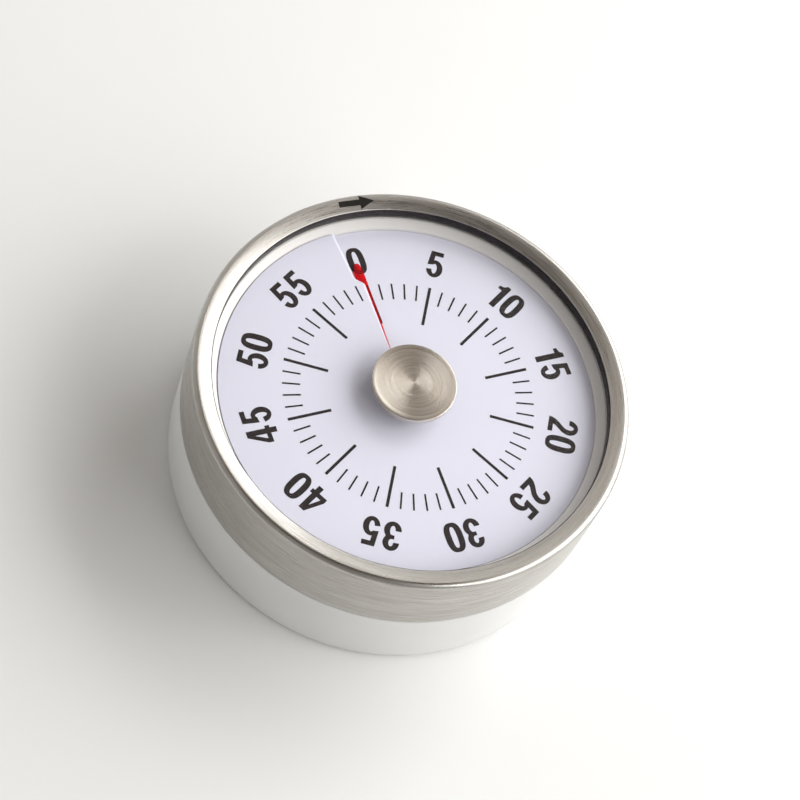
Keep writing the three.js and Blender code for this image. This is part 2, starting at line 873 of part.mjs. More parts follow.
function makeSecondArbor() {
  const phase = gapPhase(directionTo(second_centre, [0, 0]), first_pinion_teeth);
  return makePinionArbor(second_centre, first_pinion_teeth, main_module, main_level, phase);
}

function makeSecondWheel() {
  const phase = directionTo(second_centre, third_centre);
  const outline = gearOutline(second_teeth, second_module, phase);
  const rim = second_teeth * second_module / 2 - small_rim_depth;
  const wheel = spokedWheel(outline, arbor_radius + part_gap, arbor_radius * hub_share, rim, second_level);
  return wheel.translate(second_centre[0], second_centre[1], 0);
}

function makeThirdArbor() {
  const phase = gapPhase(directionTo(third_centre, second_centre), second_pinion_teeth);
  return makePinionArbor(third_centre, second_pinion_teeth, second_module, second_level, phase);
}

function makeThirdWheel() {
  const phase = directionTo(third_centre, escape_centre);
  const outline = gearOutline(third_teeth, third_module, phase);
  const rim = third_teeth * third_module / 2 - small_rim_depth;
  const wheel = spokedWheel(outline, arbor_radius + part_gap, arbor_radius * hub_share, rim, third_level);
  return wheel.translate(third_centre[0], third_centre[1], 0);
}

function makeEscapeArbor() {
  const phase = gapPhase(directionTo(escape_centre, third_centre), third_pinion_teeth);
  return makePinionArbor(escape_centre, third_pinion_teeth, third_module, third_level, phase);
}

function makeEscapeWheel() {
  const outline = toothedOutline({
    teeth: escape_teeth,
    root: escape_radius * escape_root_share,
    tip: escape_radius,
    root_share: escape_tooth_width,
    tip_share: escape_tip_width,
    lean: escape_lean,
  });
  const bore = circle([0, 0], arbor_radius + part_gap, small_segments);
  const wheel = raised(outline, [bore], escape_level, escape_level + wheel_thickness);
  return wheel.translate(escape_centre[0], escape_centre[1], 0);
}

// an anchor whose two pallets stand just clear of the escape wheel's tips
function makePalletLever() {
  const heading = directionTo(escape_centre, pallet_centre);
  const top = escape_level + wheel_thickness;
  const tip_distance = escape_radius + pallet_half_width + pallet_clearance;
  const arms = [-pallet_spread, pallet_spread].map((side) => {
    const tip = polar(escape_centre, tip_distance, heading + side);
    return raised(barOutline(pallet_centre, tip, pallet_half_width, 4), [], escape_level, top);
  });
  const boss = post(pallet_centre, pallet_boss_radius, escape_level, top);
  const bore = post(pallet_centre, arbor_radius + part_gap, escape_level - cut_margin, top + cut_margin);
  return cut(joined(boss, ...arms), bore);
}

function makeBalanceBar() {
  const heading = directionTo(escape_centre, pallet_centre) + 90;
  const ends = [0, 180].map((side) => polar(pallet_centre, balance_arm, heading + side));
  const bottom = balance_level;
  const top = bottom + wheel_thickness;
  const bar = raised(barOutline(ends[0], ends[1], pallet_half_width), [], bottom, top);
  const weights = ends.map((end) => post(end, balance_weight_radius, bottom, top));
  const boss = post(pallet_centre, balance_boss_radius, bottom, top);
  const bore = post(pallet_centre, arbor_radius + part_gap, bottom - cut_margin, top + cut_margin);
  return cut(joined(bar, boss, ...weights), bore);
}

function makeMainspring() {
  const steps = spring_turns * spring_turn_segments;
  const outside = [];
  const inside = [];
  for (let i = 0; i <= steps; i += 1) {
    const share = i / steps;
    const angle = spring_end_angle + 360 * spring_turns * (share - 1);
    const radius = spring_inner + (spring_outer - spring_inner) * share;
    outside.push(new THREE.Vector2(...polar([0, 0], radius + spring_strip / 2, angle)));
    inside.push(new THREE.Vector2(...polar([0, 0], radius - spring_strip / 2, angle)));
  }
  return raised([...outside, ...inside.reverse()], [], spring_level, spring_level + spring_width);
}

function makeSpringPost() {
  const bottom = back_plate_top + part_gap;
  return post(spring_post_centre, spring_post_radius, bottom, spring_level + spring_width, screw_segments);
}

// ---- strike work, cam and bell ------------------------------------------------------------------

function makeStrikeArbor() {
  const phase = strikePinionPhase();
  return makePinionArbor(strike_centre, first_pinion_teeth, main_module, main_level, phase);
}

// sets the strike pinion's gap on the main wheel's tooth that is nearest the line of centres
function strikePinionPhase() {
  const pitch = 360 / main_teeth;
  const toward = directionTo([0, 0], strike_centre);
  const first_tooth = directionTo([0, 0], second_centre);
  const offset = toward - first_tooth;
  const tooth_offset = Math.round(offset / pitch) * pitch - offset;
  const back = directionTo(strike_centre, [0, 0]);
  return gapPhase(back, first_pinion_teeth) - tooth_offset * main_teeth / first_pinion_teeth;
}

function makeStrikeWheel() {
  const outline = toothedOutline({
    teeth: strike_teeth,
    root: strike_radius * strike_root_share,
    tip: strike_radius,
    root_share: strike_tooth_width,
    tip_share: strike_tip_width,
  });
  const bore = circle([0, 0], arbor_radius + part_gap, small_segments);
  const wheel = raised(outline, [bore], strike_level, strike_level + wheel_thickness);
  return wheel.translate(strike_centre[0], strike_centre[1], 0);
}

function makeHammerArbor() {
  const bottom = hammerArmLevel() - part_gap;
  const high_shoulder = front_plate_bottom - part_gap;
  return turned([
    [0, bottom],
    [arbor_radius, bottom],
    [arbor_radius, high_shoulder],
    [pivot_radius, high_shoulder],
    [pivot_radius, front_plate_top - part_gap],
    [0, front_plate_top - part_gap],
  ], screw_segments).translate(hammer_centre[0], hammer_centre[1], 0);
}

function hammerArmLevel() {
  return bell_rim - hammer_head_height;
}

// the tail reaches to just outside the strike wheel's tips
function makeHammerTail() {
  const clear_distance = strike_radius + part_gap + lever_half_width;
  const tip = polar(strike_centre, clear_distance, directionTo(strike_centre, hammer_centre));
  const top = strike_level + wheel_thickness;
  const boss = post(hammer_centre, hammer_boss_radius, strike_level, top);
  const outline = barOutline(hammer_centre, tip, lever_half_width * hammer_tail_share);
  return cut(joined(boss, raised(outline, [], strike_level, top)), hammerBore(strike_level, top));
}

function makeHammerArm() {
  const level = hammerArmLevel();
  const heading = directionTo(hammer_centre, hammer_head_centre);
  const half_width = lever_half_width * hammer_arm_share;
  const end = polar(hammer_head_centre, hammer_head_radius + part_gap + half_width, heading + 180);
  const top = level + lever_thickness;
  const bar = raised(barOutline(hammer_centre, end, half_width), [], level, top);
  const boss = post(hammer_centre, hammer_boss_radius, level, top);
  return cut(joined(boss, bar), hammerBore(level, top));
}

function hammerBore(bottom, top) {
  return post(hammer_centre, arbor_radius + part_gap, bottom - cut_margin, top + cut_margin, screw_segments);
}

function makeHammerHead() {
  const level = hammerArmLevel();
  return post(hammer_head_centre, hammer_head_radius, level, level + hammer_head_height - part_gap);
}

function makeHammerSpring() {
  const heading = directionTo(strike_centre, hammer_centre);
  const foot = polar(hammer_centre, hammer_spring_foot, heading + hammer_spring_foot_turn);
  const tip = polar(hammer_centre, hammer_spring_tip, heading + hammer_spring_tip_turn);
  const outline = barOutline(foot, tip, wire_half_width, 3);
  return raised(outline, [], strike_level, strike_level + wheel_thickness);
}

function makeBell() {
  const inner = bell_radius - bell_wall;
  const hole = screw_shank + part_gap;
  return turned([
    [hole, bell_face],
    ...arc([bell_radius - bell_corner, bell_face + bell_corner], bell_corner, -90, 0, 3),
    [bell_radius, bell_rim],
    [inner, bell_rim],
    ...arc([bell_radius - bell_corner, bell_face + bell_corner], bell_corner - bell_wall, 0, -90, 3),
    [hole, bell_face + bell_wall],
    [hole, bell_face],
  ], metal_segments);
}

function makeBellPost() {
  const bottom = bell_face + bell_wall + part_gap;
  const top = back_plate_bottom - part_gap;
  const tube = post([0, 0], bell_post_radius, bottom, top);
  const thread_top = bottom + bell_thread_depth;
  return cut(tube, post([0, 0], screw_shank + part_gap, bottom - cut_margin, thread_top, screw_segments));
}

function makeBellScrew() {
  const under_head = bell_face - part_gap;
  const tip = bell_face + bell_wall + bell_screw_reach;
  return makeScrew([0, 0], under_head - screw_head_height / 2, under_head, tip);
}

function makeReleaseCam() {
  const rim_start = notch_angle + notch_half_angle;
  const rim_end = notch_angle + 360 - notch_half_angle;
  const outline = [
    ...arc([0, 0], cam_radius, rim_start, rim_end, cam_steps),
    polar([0, 0], cam_radius - notch_depth, notch_angle - notch_half_angle / 2),
    polar([0, 0], cam_radius - notch_depth, notch_angle + notch_half_angle / 2),
  ].map((point) => new THREE.Vector2(...point));
  return raised(outline, [circle([0, 0], arbor_bore, small_segments)], cam_bottom, cam_top);
}

function leverLevel() {
  return cam_bottom + (cam_thickness - lever_thickness) / 2;
}

function makeReleaseLever() {
  const nose = polar([0, 0], cam_radius + part_gap + lever_half_width, notch_angle);
  const outline = barOutline(release_centre, nose, lever_half_width);
  const level = leverLevel();
  const top = level + lever_thickness;
  const bar = raised(outline, [], level, top);
  const boss = post(release_centre, pallet_boss_radius, level, top);
  const bore_radius = screw_shank + part_gap;
  const bore = post(release_centre, bore_radius, level - cut_margin, top + cut_margin, screw_segments);
  return cut(joined(bar, boss), bore);
}

function makeReleasePivot() {
  const under_head = leverLevel() + lever_thickness + part_gap;
  const head_top = under_head + screw_head_height / 2;
  return makeScrew(release_centre, head_top, under_head, front_plate_bottom + part_gap);
}

function makeReleaseSpring() {
  const level = leverLevel();
  const foot = polar(release_centre, release_spring_foot, release_spring_foot_angle);
  const tip = polar([0, 0], cam_radius + release_spring_gap, notch_angle);
  return raised(barOutline(foot, tip, wire_half_width, 3), [], level, level + lever_thickness);
}

// ---- the assembly -------------------------------------------------------------------------------

const timer = new THREE.Group();

function add(name, geometry, material) {
  const mesh = new THREE.Mesh(geometry, material);
  mesh.name = name;
  timer.add(mesh);
}

function addEach(name, centres, make, material) {
  centres.forEach((centre, i) => add(`${name}_${i + 1}`, make(centre), material));
}

add('base_housing', makeBaseHousing(), white_plastic);
add('back_cover', makeBackCover(), white_plastic);
addEach('back_magnet', magnetCentres(), makeMagnet, ferrite);
addEach('cover_screw', screwBossCentres(), makeCoverScrew, arbor_steel);
add('dial_carrier', makeDialCarrier(), white_plastic);
add('dial', makeDial(), dial_white);

add('steel_ring', makeSteelRing(), brushed_steel);
add('ring_sleeve', makeRingSleeve(), white_plastic);
add('window', makeWindow(), clear_window);
add('centre_knob', makeKnob(), brushed_steel);
add('main_arbor', makeMainArbor(), arbor_steel);
add('main_wheel', makeMainWheel(), brass);
add('clutch_spring', makeClutchSpring(), spring_steel);
add('release_cam', makeReleaseCam(), brass);

add('time_film', makeTimeFilm(), red_film);
add('film_hub', makeFilmHub(), white_plastic);

add('front_plate', makeFrontPlate(), brass);
add('back_plate', makeBackPlate(), brass);
addEach('pillar', pillarCentres(), makePillar, brass);
addEach('plate_screw', pillarCentres(), makePlateScrew, arbor_steel);
addEach('movement_screw', movementScrewCentres(), makeMovementScrew, arbor_steel);

add('mainspring', makeMainspring(), spring_steel);
add('spring_post', makeSpringPost(), arbor_steel);
add('second_arbor', makeSecondArbor(), arbor_steel);
add('second_wheel', makeSecondWheel(), brass);
add('third_arbor', makeThirdArbor(), arbor_steel);
add('third_wheel', makeThirdWheel(), brass);
add('escape_arbor', makeEscapeArbor(), arbor_steel);
add('escape_wheel', makeEscapeWheel(), brass);
add('pallet_arbor', makeArbor(pallet_centre), arbor_steel);
add('pallet_lever', makePalletLever(), arbor_steel);
add('balance_bar', makeBalanceBar(), brass);

add('strike_arbor', makeStrikeArbor(), arbor_steel);
add('strike_wheel', makeStrikeWheel(), arbor_steel);
add('hammer_arbor', makeHammerArbor(), arbor_steel);
add('hammer_tail', makeHammerTail(), arbor_steel);
add('hammer_arm', makeHammerArm(), arbor_steel);
add('hammer_head', makeHammerHead(), brass);
add('hammer_spring', makeHammerSpring(), spring_steel);
add('bell', makeBell(), bell_metal);
add('bell_post', makeBellPost(), arbor_steel);
add('bell_screw', makeBellScrew(), arbor_steel);
add('release_lever', makeReleaseLever(), arbor_steel);
add('release_pivot', makeReleasePivot(), arbor_steel);
add('release_spring', makeReleaseSpring(), spring_steel);

export default timer;
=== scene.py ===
"""A sixty-minute wind-up kitchen timer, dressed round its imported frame.

Sizes in the classes are millimetres and meshes are metres. +Z is up, the timer lies on its back and
the dial's zero mark points to +Y.
"""

import logging
import math
from collections.abc import Callable, Iterable, Sequence
from dataclasses import dataclass, field
from enum import Enum

import bmesh
import bpy
from mathutils import Matrix, Vector


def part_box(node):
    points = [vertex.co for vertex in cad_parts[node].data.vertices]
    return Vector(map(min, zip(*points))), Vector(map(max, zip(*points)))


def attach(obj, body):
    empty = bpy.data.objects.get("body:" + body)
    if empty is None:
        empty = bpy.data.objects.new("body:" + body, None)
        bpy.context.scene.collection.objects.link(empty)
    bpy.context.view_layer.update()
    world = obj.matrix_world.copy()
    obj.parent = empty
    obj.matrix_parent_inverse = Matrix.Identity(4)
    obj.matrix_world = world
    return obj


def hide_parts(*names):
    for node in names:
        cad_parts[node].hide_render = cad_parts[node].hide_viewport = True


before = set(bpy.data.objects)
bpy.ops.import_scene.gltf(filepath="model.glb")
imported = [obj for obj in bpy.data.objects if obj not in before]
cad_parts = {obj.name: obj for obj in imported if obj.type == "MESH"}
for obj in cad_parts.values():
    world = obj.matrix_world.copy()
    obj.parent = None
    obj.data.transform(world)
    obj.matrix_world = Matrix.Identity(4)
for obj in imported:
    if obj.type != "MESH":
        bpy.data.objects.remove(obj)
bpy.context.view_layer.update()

MM = 0.001
SHARP_ANGLE = math.radians(32)
STROKE_CIRCLE = 39.0
SENSOR_WIDTH = 36.0

Outline = Sequence[tuple[float, float]]
Colour = tuple[float, float, float]

log = logging.getLogger("timer")


class Body(Enum):
    """CAD bodies that new pieces ride on."""

    BASE = "base"
    WINDER = "winder"
    FILM = "film"


class Slot(Enum):
    """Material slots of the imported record."""

    WHITE_PLASTIC = "white_plastic"
    DIAL_WHITE = "dial_white"
    RED_FILM = "red_film"
    CLEAR_WINDOW = "clear_window"
    BRUSHED_STEEL = "brushed_steel"
    ARBOR_STEEL = "arbor_steel"
    SPRING_STEEL = "spring_steel"
    BRASS = "brass"
    BELL_METAL = "bell_metal"
    FERRITE = "ferrite"


class Grain(Enum):
    """Ways a metal surface is brushed."""

    AROUND = "around"
    STRAIGHT = "straight"
    TURNED = "turned"


# ---- shape tools --------------------------------------------------------------------------------


@dataclass(frozen=True)
class Extent:
    """A CAD node's place at rest, in millimetres."""

    radius: float
    bottom: float
    top: float
    centre: tuple[float, float]

    @classmethod
    def of(cls, node: str) -> "Extent":
        """Reads the place of a CAD node.

        Args:
            node: The node's name.

        Returns:
            Its half width, its lowest and highest height, and its middle.
        """
        low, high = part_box(node)
        middle = (low + high) / 2 / MM
        return cls((high.x - low.x) / 2 / MM, low.z / MM, high.z / MM, (middle.x, middle.y))


def polar(radius: float, clock: float) -> tuple[float, float]:
    """Finds a point on a circle round the dial's centre.

    Args:
        radius: Distance from the centre.
        clock: Clockwise angle from +Y, in degrees.

    Returns:
        The point's x and y.
    """
    angle = math.radians(90 - clock)
    return radius * math.cos(angle), radius * math.sin(angle)


def smooth_step(start: float, end: float, value: float) -> float:
    """Eases from 0 at start to 1 at end.

    Args:
        start: Where the easing starts.
        end: Where the easing ends.
        value: The place to look at.

    Returns:
        The share from 0 to 1.
    """
    share = min(max((value - start) / (end - start), 0.0), 1.0)
    return share * share * (3 - 2 * share)


def arc(
    centre: tuple[float, float], radii: tuple[float, float], start: float, end: float, steps: int
) -> list:
    """Samples part of an ellipse.

    Args:
        centre: Its centre.
        radii: Its half width and half height.
        start: First angle in degrees.
        end: Last angle in degrees, smaller than start for a clockwise arc.
        steps: Number of chords.

    Returns:
        The points from start to end.
    """
    angles = [math.radians(start + (end - start) * i / steps) for i in range(steps + 1)]
    return [(centre[0] + radii[0] * math.cos(a), centre[1] + radii[1] * math.sin(a)) for a in angles]


def eased(corners: Sequence[tuple[float, float, float]], steps: int = 5) -> list[tuple[float, float]]:
    """Rounds the corners of a closed outline.

    Args:
        corners: Radius, height and corner radius of each corner in order.
        steps: Chords in each rounded corner.

    Returns:
        The outline's points.
    """
    points: list[tuple[float, float]] = []
    count = len(corners)
    for i, (r, z, ease) in enumerate(corners):
        here = Vector((r, z))
        if ease <= 0:
            points.append((r, z))
            continue
        before = Vector(corners[i - 1][:2]) - here
        after = Vector(corners[(i + 1) % count][:2]) - here
        half = before.angle(after) / 2
        reach = min(ease / math.tan(half), before.length * 0.48, after.length * 0.48)
        start, end = here + before.normalized() * reach, here + after.normalized() * reach
        for step in range(steps + 1):
            t = step / steps
            point = start * (1 - t) ** 2 + here * 2 * t * (1 - t) + end * t * t
            points.append((point.x, point.y))
    return points


def turn_into(
    mesh: bmesh.types.BMesh, outline: Outline, segments: int, centre: tuple[float, float] = (0, 0)
) -> None:
    """Turns a closed outline round an upright axis.

    Args:
        mesh: The mesh that gets the faces.
        outline: Radius and height of each point, in millimetres.
        segments: Steps round the circle.
        centre: Where the axis stands.
    """
    rings = []
    for i in range(segments):
        angle = 2 * math.pi * i / segments
        c, s = math.cos(angle), math.sin(angle)
        rings.append([
            mesh.verts.new(((centre[0] + r * c) * MM, (centre[1] + r * s) * MM, z * MM))
            for r, z in outline
        ])
    count = len(outline)
    for i in range(segments):
        ring, following = rings[i], rings[(i + 1) % segments]
        for j in range(count):
            k = (j + 1) % count
            if outline[j][0] < 1e-9 and outline[k][0] < 1e-9:
                continue
            mesh.faces.new((ring[j], following[j], following[k], ring[k]))


def raise_into(mesh: bmesh.types.BMesh, outline: Outline, low: float, high: float) -> None:
    """Raises a flat outline into a solid.

    Args:
        mesh: The mesh that gets the faces.
        outline: The outline's x and y, in millimetres.
        low: Height of its lower face.
        high: Height of its upper face.
    """
    lower = [mesh.verts.new((x * MM, y * MM, low * MM)) for x, y in outline]
    upper = [mesh.verts.new((x * MM, y * MM, high * MM)) for x, y in outline]
    count = len(outline)
    mesh.faces.new(lower)
    mesh.faces.new(upper)
    for i in range(count):
        j = (i + 1) % count
        mesh.faces.new((lower[i], lower[j], upper[j], upper[i]))


def finish_mesh(name: str, mesh: bmesh.types.BMesh) -> bpy.types.Object:
    """Cleans a mesh, points its faces outwards and makes its object.

    Args:
        name: The object's name.
        mesh: The mesh, which is freed.

    Returns:
        The new object.
    """
    bmesh.ops.remove_doubles(mesh, verts=mesh.verts, dist=1e-7)
    bmesh.ops.dissolve_degenerate(mesh, edges=mesh.edges, dist=1e-8)
    bmesh.ops.recalc_face_normals(mesh, faces=mesh.faces)
    data = bpy.data.meshes.new(name)
    mesh.to_mesh(data)
    mesh.free()
    data.shade_smooth()
    data.set_sharp_from_angle(angle=SHARP_ANGLE)
    made = bpy.data.objects.new(name, data)
    bpy.context.scene.collection.objects.link(made)
    return made


def turned(
    name: str, outline: Outline, segments: int = 192, centre: tuple[float, float] = (0, 0)
) -> bpy.types.Object:
    """Makes a turned piece from a closed outline.

    Args:
        name: The piece's name.
        outline: Radius and height of each point, in millimetres.
        segments: Steps round the circle.
        centre: Where its axis stands.

    Returns:
        The new object.
    """
    mesh = bmesh.new()
    turn_into(mesh, outline, segments, centre)
    return finish_mesh(name, mesh)


def carve(made: bpy.types.Object, cutters: Iterable[bpy.types.Object]) -> None:
    """Cuts other shapes out of a piece and removes them.

    Args:
        made: The piece.
        cutters: The shapes to take out of it.
    """
    for cutter in cutters:
        modifier = made.modifiers.new("cut", "BOOLEAN")
        modifier.operation, modifier.solver, modifier.object = "DIFFERENCE", "EXACT", cutter
        depsgraph = bpy.context.evaluated_depsgraph_get()
        shaped = bpy.data.meshes.new_from_object(made.evaluated_get(depsgraph))
        made.modifiers.clear()
        made.data = shaped
        bpy.data.objects.remove(cutter)
    made.data.shade_smooth()
    made.data.set_sharp_from_angle(angle=SHARP_ANGLE)


# ---- finishes -----------------------------------------------------------------------------------


class NodeBench:
    """A material's node tree, with short ways to add and join its nodes."""

    def __init__(self, name: str) -> None:
        """Starts a material with a shader and an output.

        Args:
            name: The material's name.
        """
        self.material = bpy.data.materials.new(name)
        self.material.use_nodes = True
        self.tree = self.material.node_tree
        self.tree.nodes.clear()
        self.output = self.add("ShaderNodeOutputMaterial")
        self.shader = self.add("ShaderNodeBsdfPrincipled")
        self.link(self.shader.outputs["BSDF"], self.output.inputs["Surface"])

    def add(self, kind: str, **settings: object) -> bpy.types.Node:
        """Adds a node.

        Args:
            kind: The node's type.
            **settings: Properties to set on it.

        Returns:
            The node.
        """
        node = self.tree.nodes.new(kind)
        for key, value in settings.items():
            setattr(node, key, value)
        return node

    def link(self, source: bpy.types.NodeSocket, target: bpy.types.NodeSocket) -> None:
        """Joins an output to an input."""
        self.tree.links.new(source, target)

    def fix(self, **values: float | tuple) -> None:
        """Sets the shader's own sockets; underscores in the names stand for spaces."""
        for key, value in values.items():
            self.shader.inputs[key.replace("_", " ")].default_value = value

    def place(self) -> bpy.types.NodeSocket:
        """Gives the object's own coordinates, in metres."""
        return self.add("ShaderNodeTexCoord").outputs["Object"]

    def maths(
        self, operation: str, first: object, second: object = 0.0, third: object = 0.0
    ) -> bpy.types.NodeSocket:
        """Works out a number from up to three others.

        Args:
            operation: The Math node's operation.
            first: A socket or a number.
            second: A socket or a number.
            third: A socket or a number.

        Returns:
            The result's socket.
        """
        node = self.add("ShaderNodeMath", operation=operation)
        for socket, value in zip(node.inputs, (first, second, third)):
            if isinstance(value, bpy.types.NodeSocket):
                self.link(value, socket)
            else:
                socket.default_value = value
        return node.outputs[0]

    def noise(
        self, vector: bpy.types.NodeSocket, scale: float, detail: float = 2.0
    ) -> bpy.types.NodeSocket:
        """Adds a noise.

        Args:
            vector: Where it is read.
            scale: Its scale.
            detail: Its detail.

        Returns:
            Its value, about 0.5 on average.
        """
        node = self.add("ShaderNodeTexNoise")
        node.inputs["Scale"].default_value = scale
        node.inputs["Detail"].default_value = detail
        self.link(vector, node.inputs["Vector"])
        return node.outputs[0]

    def spread(
        self, value: bpy.types.NodeSocket, low: float, high: float, to: tuple[float, float]
    ) -> bpy.types.NodeSocket:
        """Maps a range of a number onto another one.

        Args:
            value: The number.
            low: The value that gives the first result.
            high: The value that gives the second result.
            to: The two results.

        Returns:
            The result's socket.
        """
        node = self.add("ShaderNodeMapRange")
        for key, number in (("From Min", low), ("From Max", high), ("To Min", to[0]), ("To Max", to[1])):
            node.inputs[key].default_value = number
        self.link(value, node.inputs["Value"])
        return node.outputs["Result"]

    def tint(self, factor: bpy.types.NodeSocket, first: Colour, second: Colour) -> bpy.types.NodeSocket:
        """Blends two colours.

        Args:
            factor: 0 for the first and 1 for the second.
            first: A colour.
            second: A colour.

        Returns:
            The blend's socket.
        """
        node = self.add("ShaderNodeMix", data_type="RGBA")
        for socket in node.inputs:
            if socket.name == "A" and socket.type == "RGBA":
                socket.default_value = (*first, 1)
            if socket.name == "B" and socket.type == "RGBA":
                socket.default_value = (*second, 1)
        self.link(factor, node.inputs[0])
        return [socket for socket in node.outputs if socket.type == "RGBA"][0]

    def bump(self, height: bpy.types.NodeSocket, depth: float, strength: float = 1.0) -> None:
        """Gives the shader a bump.

        Args:
            height: The relief, from 0 to 1.
            depth: Its depth in millimetres.
            strength: How much of it shows.
        """
        node = self.add("ShaderNodeBump")
        node.inputs["Strength"].default_value = strength
        node.inputs["Distance"].default_value = depth * MM
        self.link(height, node.inputs["Height"])
        self.link(node.outputs["Normal"], self.shader.inputs["Normal"])

    def streaks(self, grain: Grain, length: float, width: float) -> bpy.types.NodeSocket:
        """Makes the coordinates of a brushed surface.

        Args:
            grain: The way that it is brushed.
            length: Length of a stroke, in millimetres.
            width: Width of a stroke, in millimetres.

        Returns:
            Coordinates in strokes, which a noise of scale 1 reads.
        """
        split = self.add("ShaderNodeSeparateXYZ")
        self.link(self.place(), split.inputs[0])
        x, y, z = split.outputs
        joined = self.add("ShaderNodeCombineXYZ")
        fine = 1 / (width * MM)
        if grain is Grain.STRAIGHT:
            parts = (
                self.maths("MULTIPLY", x, fine),
                self.maths("MULTIPLY", y, 1 / (length * MM)),
                self.maths("MULTIPLY", z, fine),
            )
        else:
            squares = self.maths("ADD", self.maths("MULTIPLY", x, x), self.maths("MULTIPLY", y, y))
            radius = self.maths("MAXIMUM", self.maths("SQRT", squares), 1e-5)
            along = STROKE_CIRCLE / length
            profile = self.maths("ADD", radius, z) if grain is Grain.AROUND else radius
            parts = (
                self.maths("MULTIPLY", self.maths("DIVIDE", x, radius), along),
                self.maths("MULTIPLY", self.maths("DIVIDE", y, radius), along),
                self.maths("MULTIPLY", profile, fine),
            )
        for part, socket in zip(parts, joined.inputs):
            self.link(part, socket)
        return joined.outputs[0]


@dataclass(frozen=True)
class Finish:
    """A surface finish, made into a material when it is first used."""

    name: str

    def material(self) -> bpy.types.Material:
        """Gives the finish's material, made once."""
        known = bpy.data.materials.get(self.name)
        if known is not None:
            return known
        bench = NodeBench(self.name)
        self.lay(bench)
        return bench.material

    def lay(self, bench: NodeBench) -> None:
        """Builds the finish's nodes; each kind of finish has its own."""
        raise NotImplementedError


@dataclass(frozen=True)
class MouldedPlastic(Finish):
    """Moulded plastic with a fine spark texture and faint shade changes."""

    colour: Colour = (0.83, 0.83, 0.82)
    shade: Colour = (0.78, 0.78, 0.775)
    roughness: float = 0.45
    grain_depth: float = 0.012
    grain_scale: float = 2600.0
    gloss: float = 0.5

    def lay(self, bench: NodeBench) -> None:
        """Builds the plastic's nodes."""
        place = bench.place()
        cloud = bench.noise(place, 60.0, 3.0)
        bench.link(
            bench.tint(bench.spread(cloud, 0.3, 0.7, (0, 1)), self.colour, self.shade),
            bench.shader.inputs["Base Color"],
        )
        grain = bench.noise(place, self.grain_scale, 1.0)
        rough = bench.spread(grain, 0.3, 0.7, (self.roughness - 0.04, self.roughness + 0.05))
        bench.link(rough, bench.shader.inputs["Roughness"])
        bench.fix(Specular_IOR_Level=self.gloss)
        bench.bump(grain, self.grain_depth, 0.35)


@dataclass(frozen=True)
class BrushedMetal(Finish):
    """Brushed steel, whose strokes change its shade, gloss and relief."""

    grain: Grain = Grain.AROUND
    colour: Colour = (0.66, 0.645, 0.62)
    shade: Colour = (0.5, 0.48, 0.45)
    roughness: float = 0.3
    anisotropy: float = 0.5
    turn: float = 0.0
    stroke_length: float = 7.0
    stroke_width: float = 0.16
    depth: float = 0.006

    def lay(self, bench: NodeBench) -> None:
        """Builds the metal's nodes."""
        strokes = bench.noise(bench.streaks(self.grain, self.stroke_length, self.stroke_width), 1.0, 3.0)
        broad = bench.streaks(self.grain, self.stroke_length * 2, self.stroke_width * 5)
        wide = bench.noise(broad, 1.0, 2.0)
        fine_part = bench.maths("MULTIPLY", strokes, 0.65)
        wide_part = bench.maths("MULTIPLY", wide, 0.35)
        mixed = bench.maths("ADD", fine_part, wide_part)
        bench.link(
            bench.tint(bench.spread(mixed, 0.36, 0.64, (0, 1)), self.colour, self.shade),
            bench.shader.inputs["Base Color"],
        )
        rough = bench.spread(strokes, 0.3, 0.7, (self.roughness - 0.07, self.roughness + 0.08))
        bench.link(rough, bench.shader.inputs["Roughness"])
        bench.fix(Metallic=1.0, Anisotropic=self.anisotropy, Anisotropic_Rotation=self.turn)
        if self.grain is not Grain.STRAIGHT:
            tangent = bench.add("ShaderNodeTangent", direction_type="RADIAL", axis="Z")
            bench.link(tangent.outputs[0], bench.shader.inputs["Tangent"])
        bench.bump(strokes, self.depth, 0.5)


@dataclass(frozen=True)
class WorkedMetal(Finish):
    """Plain metal of the movement, with faint tarnish and tool marks."""

    colour: Colour = (0.6, 0.6, 0.6)
    tarnish: Colour = (0.45, 0.44, 0.42)
    roughness: float = 0.28
    mark_scale: float = 900.0

    def lay(self, bench: NodeBench) -> None:
        """Builds the metal's nodes."""
        place = bench.place()
        cloud = bench.noise(place, 140.0, 4.0)
        bench.link(
            bench.tint(bench.spread(cloud, 0.35, 0.7, (0, 1)), self.colour, self.tarnish),
            bench.shader.inputs["Base Color"],
        )
        marks = bench.noise(place, self.mark_scale, 3.0)
        rough = bench.spread(marks, 0.3, 0.7, (self.roughness - 0.08, self.roughness + 0.12))
        bench.link(rough, bench.shader.inputs["Roughness"])
        bench.fix(Metallic=1.0)
        bench.bump(marks, 0.01, 0.3)


@dataclass(frozen=True)
class Ink(Finish):
    """Printed ink, with slightly uneven cover."""

    colour: Colour = (0.018, 0.013, 0.012)
    worn: Colour = (0.035, 0.026, 0.024)
    roughness: float = 0.5
    gloss: float = 0.15

    def lay(self, bench: NodeBench) -> None:
        """Builds the ink's nodes."""
        place = bench.place()
        cover = bench.noise(place, 1500.0, 3.0)
        bench.link(
            bench.tint(bench.spread(cover, 0.35, 0.7, (0, 1)), self.colour, self.worn),
            bench.shader.inputs["Base Color"],
        )
        bench.link(
            bench.spread(cover, 0.3, 0.7, (self.roughness - 0.05, self.roughness + 0.1)),
            bench.shader.inputs["Roughness"],
        )
        bench.fix(Specular_IOR_Level=self.gloss)


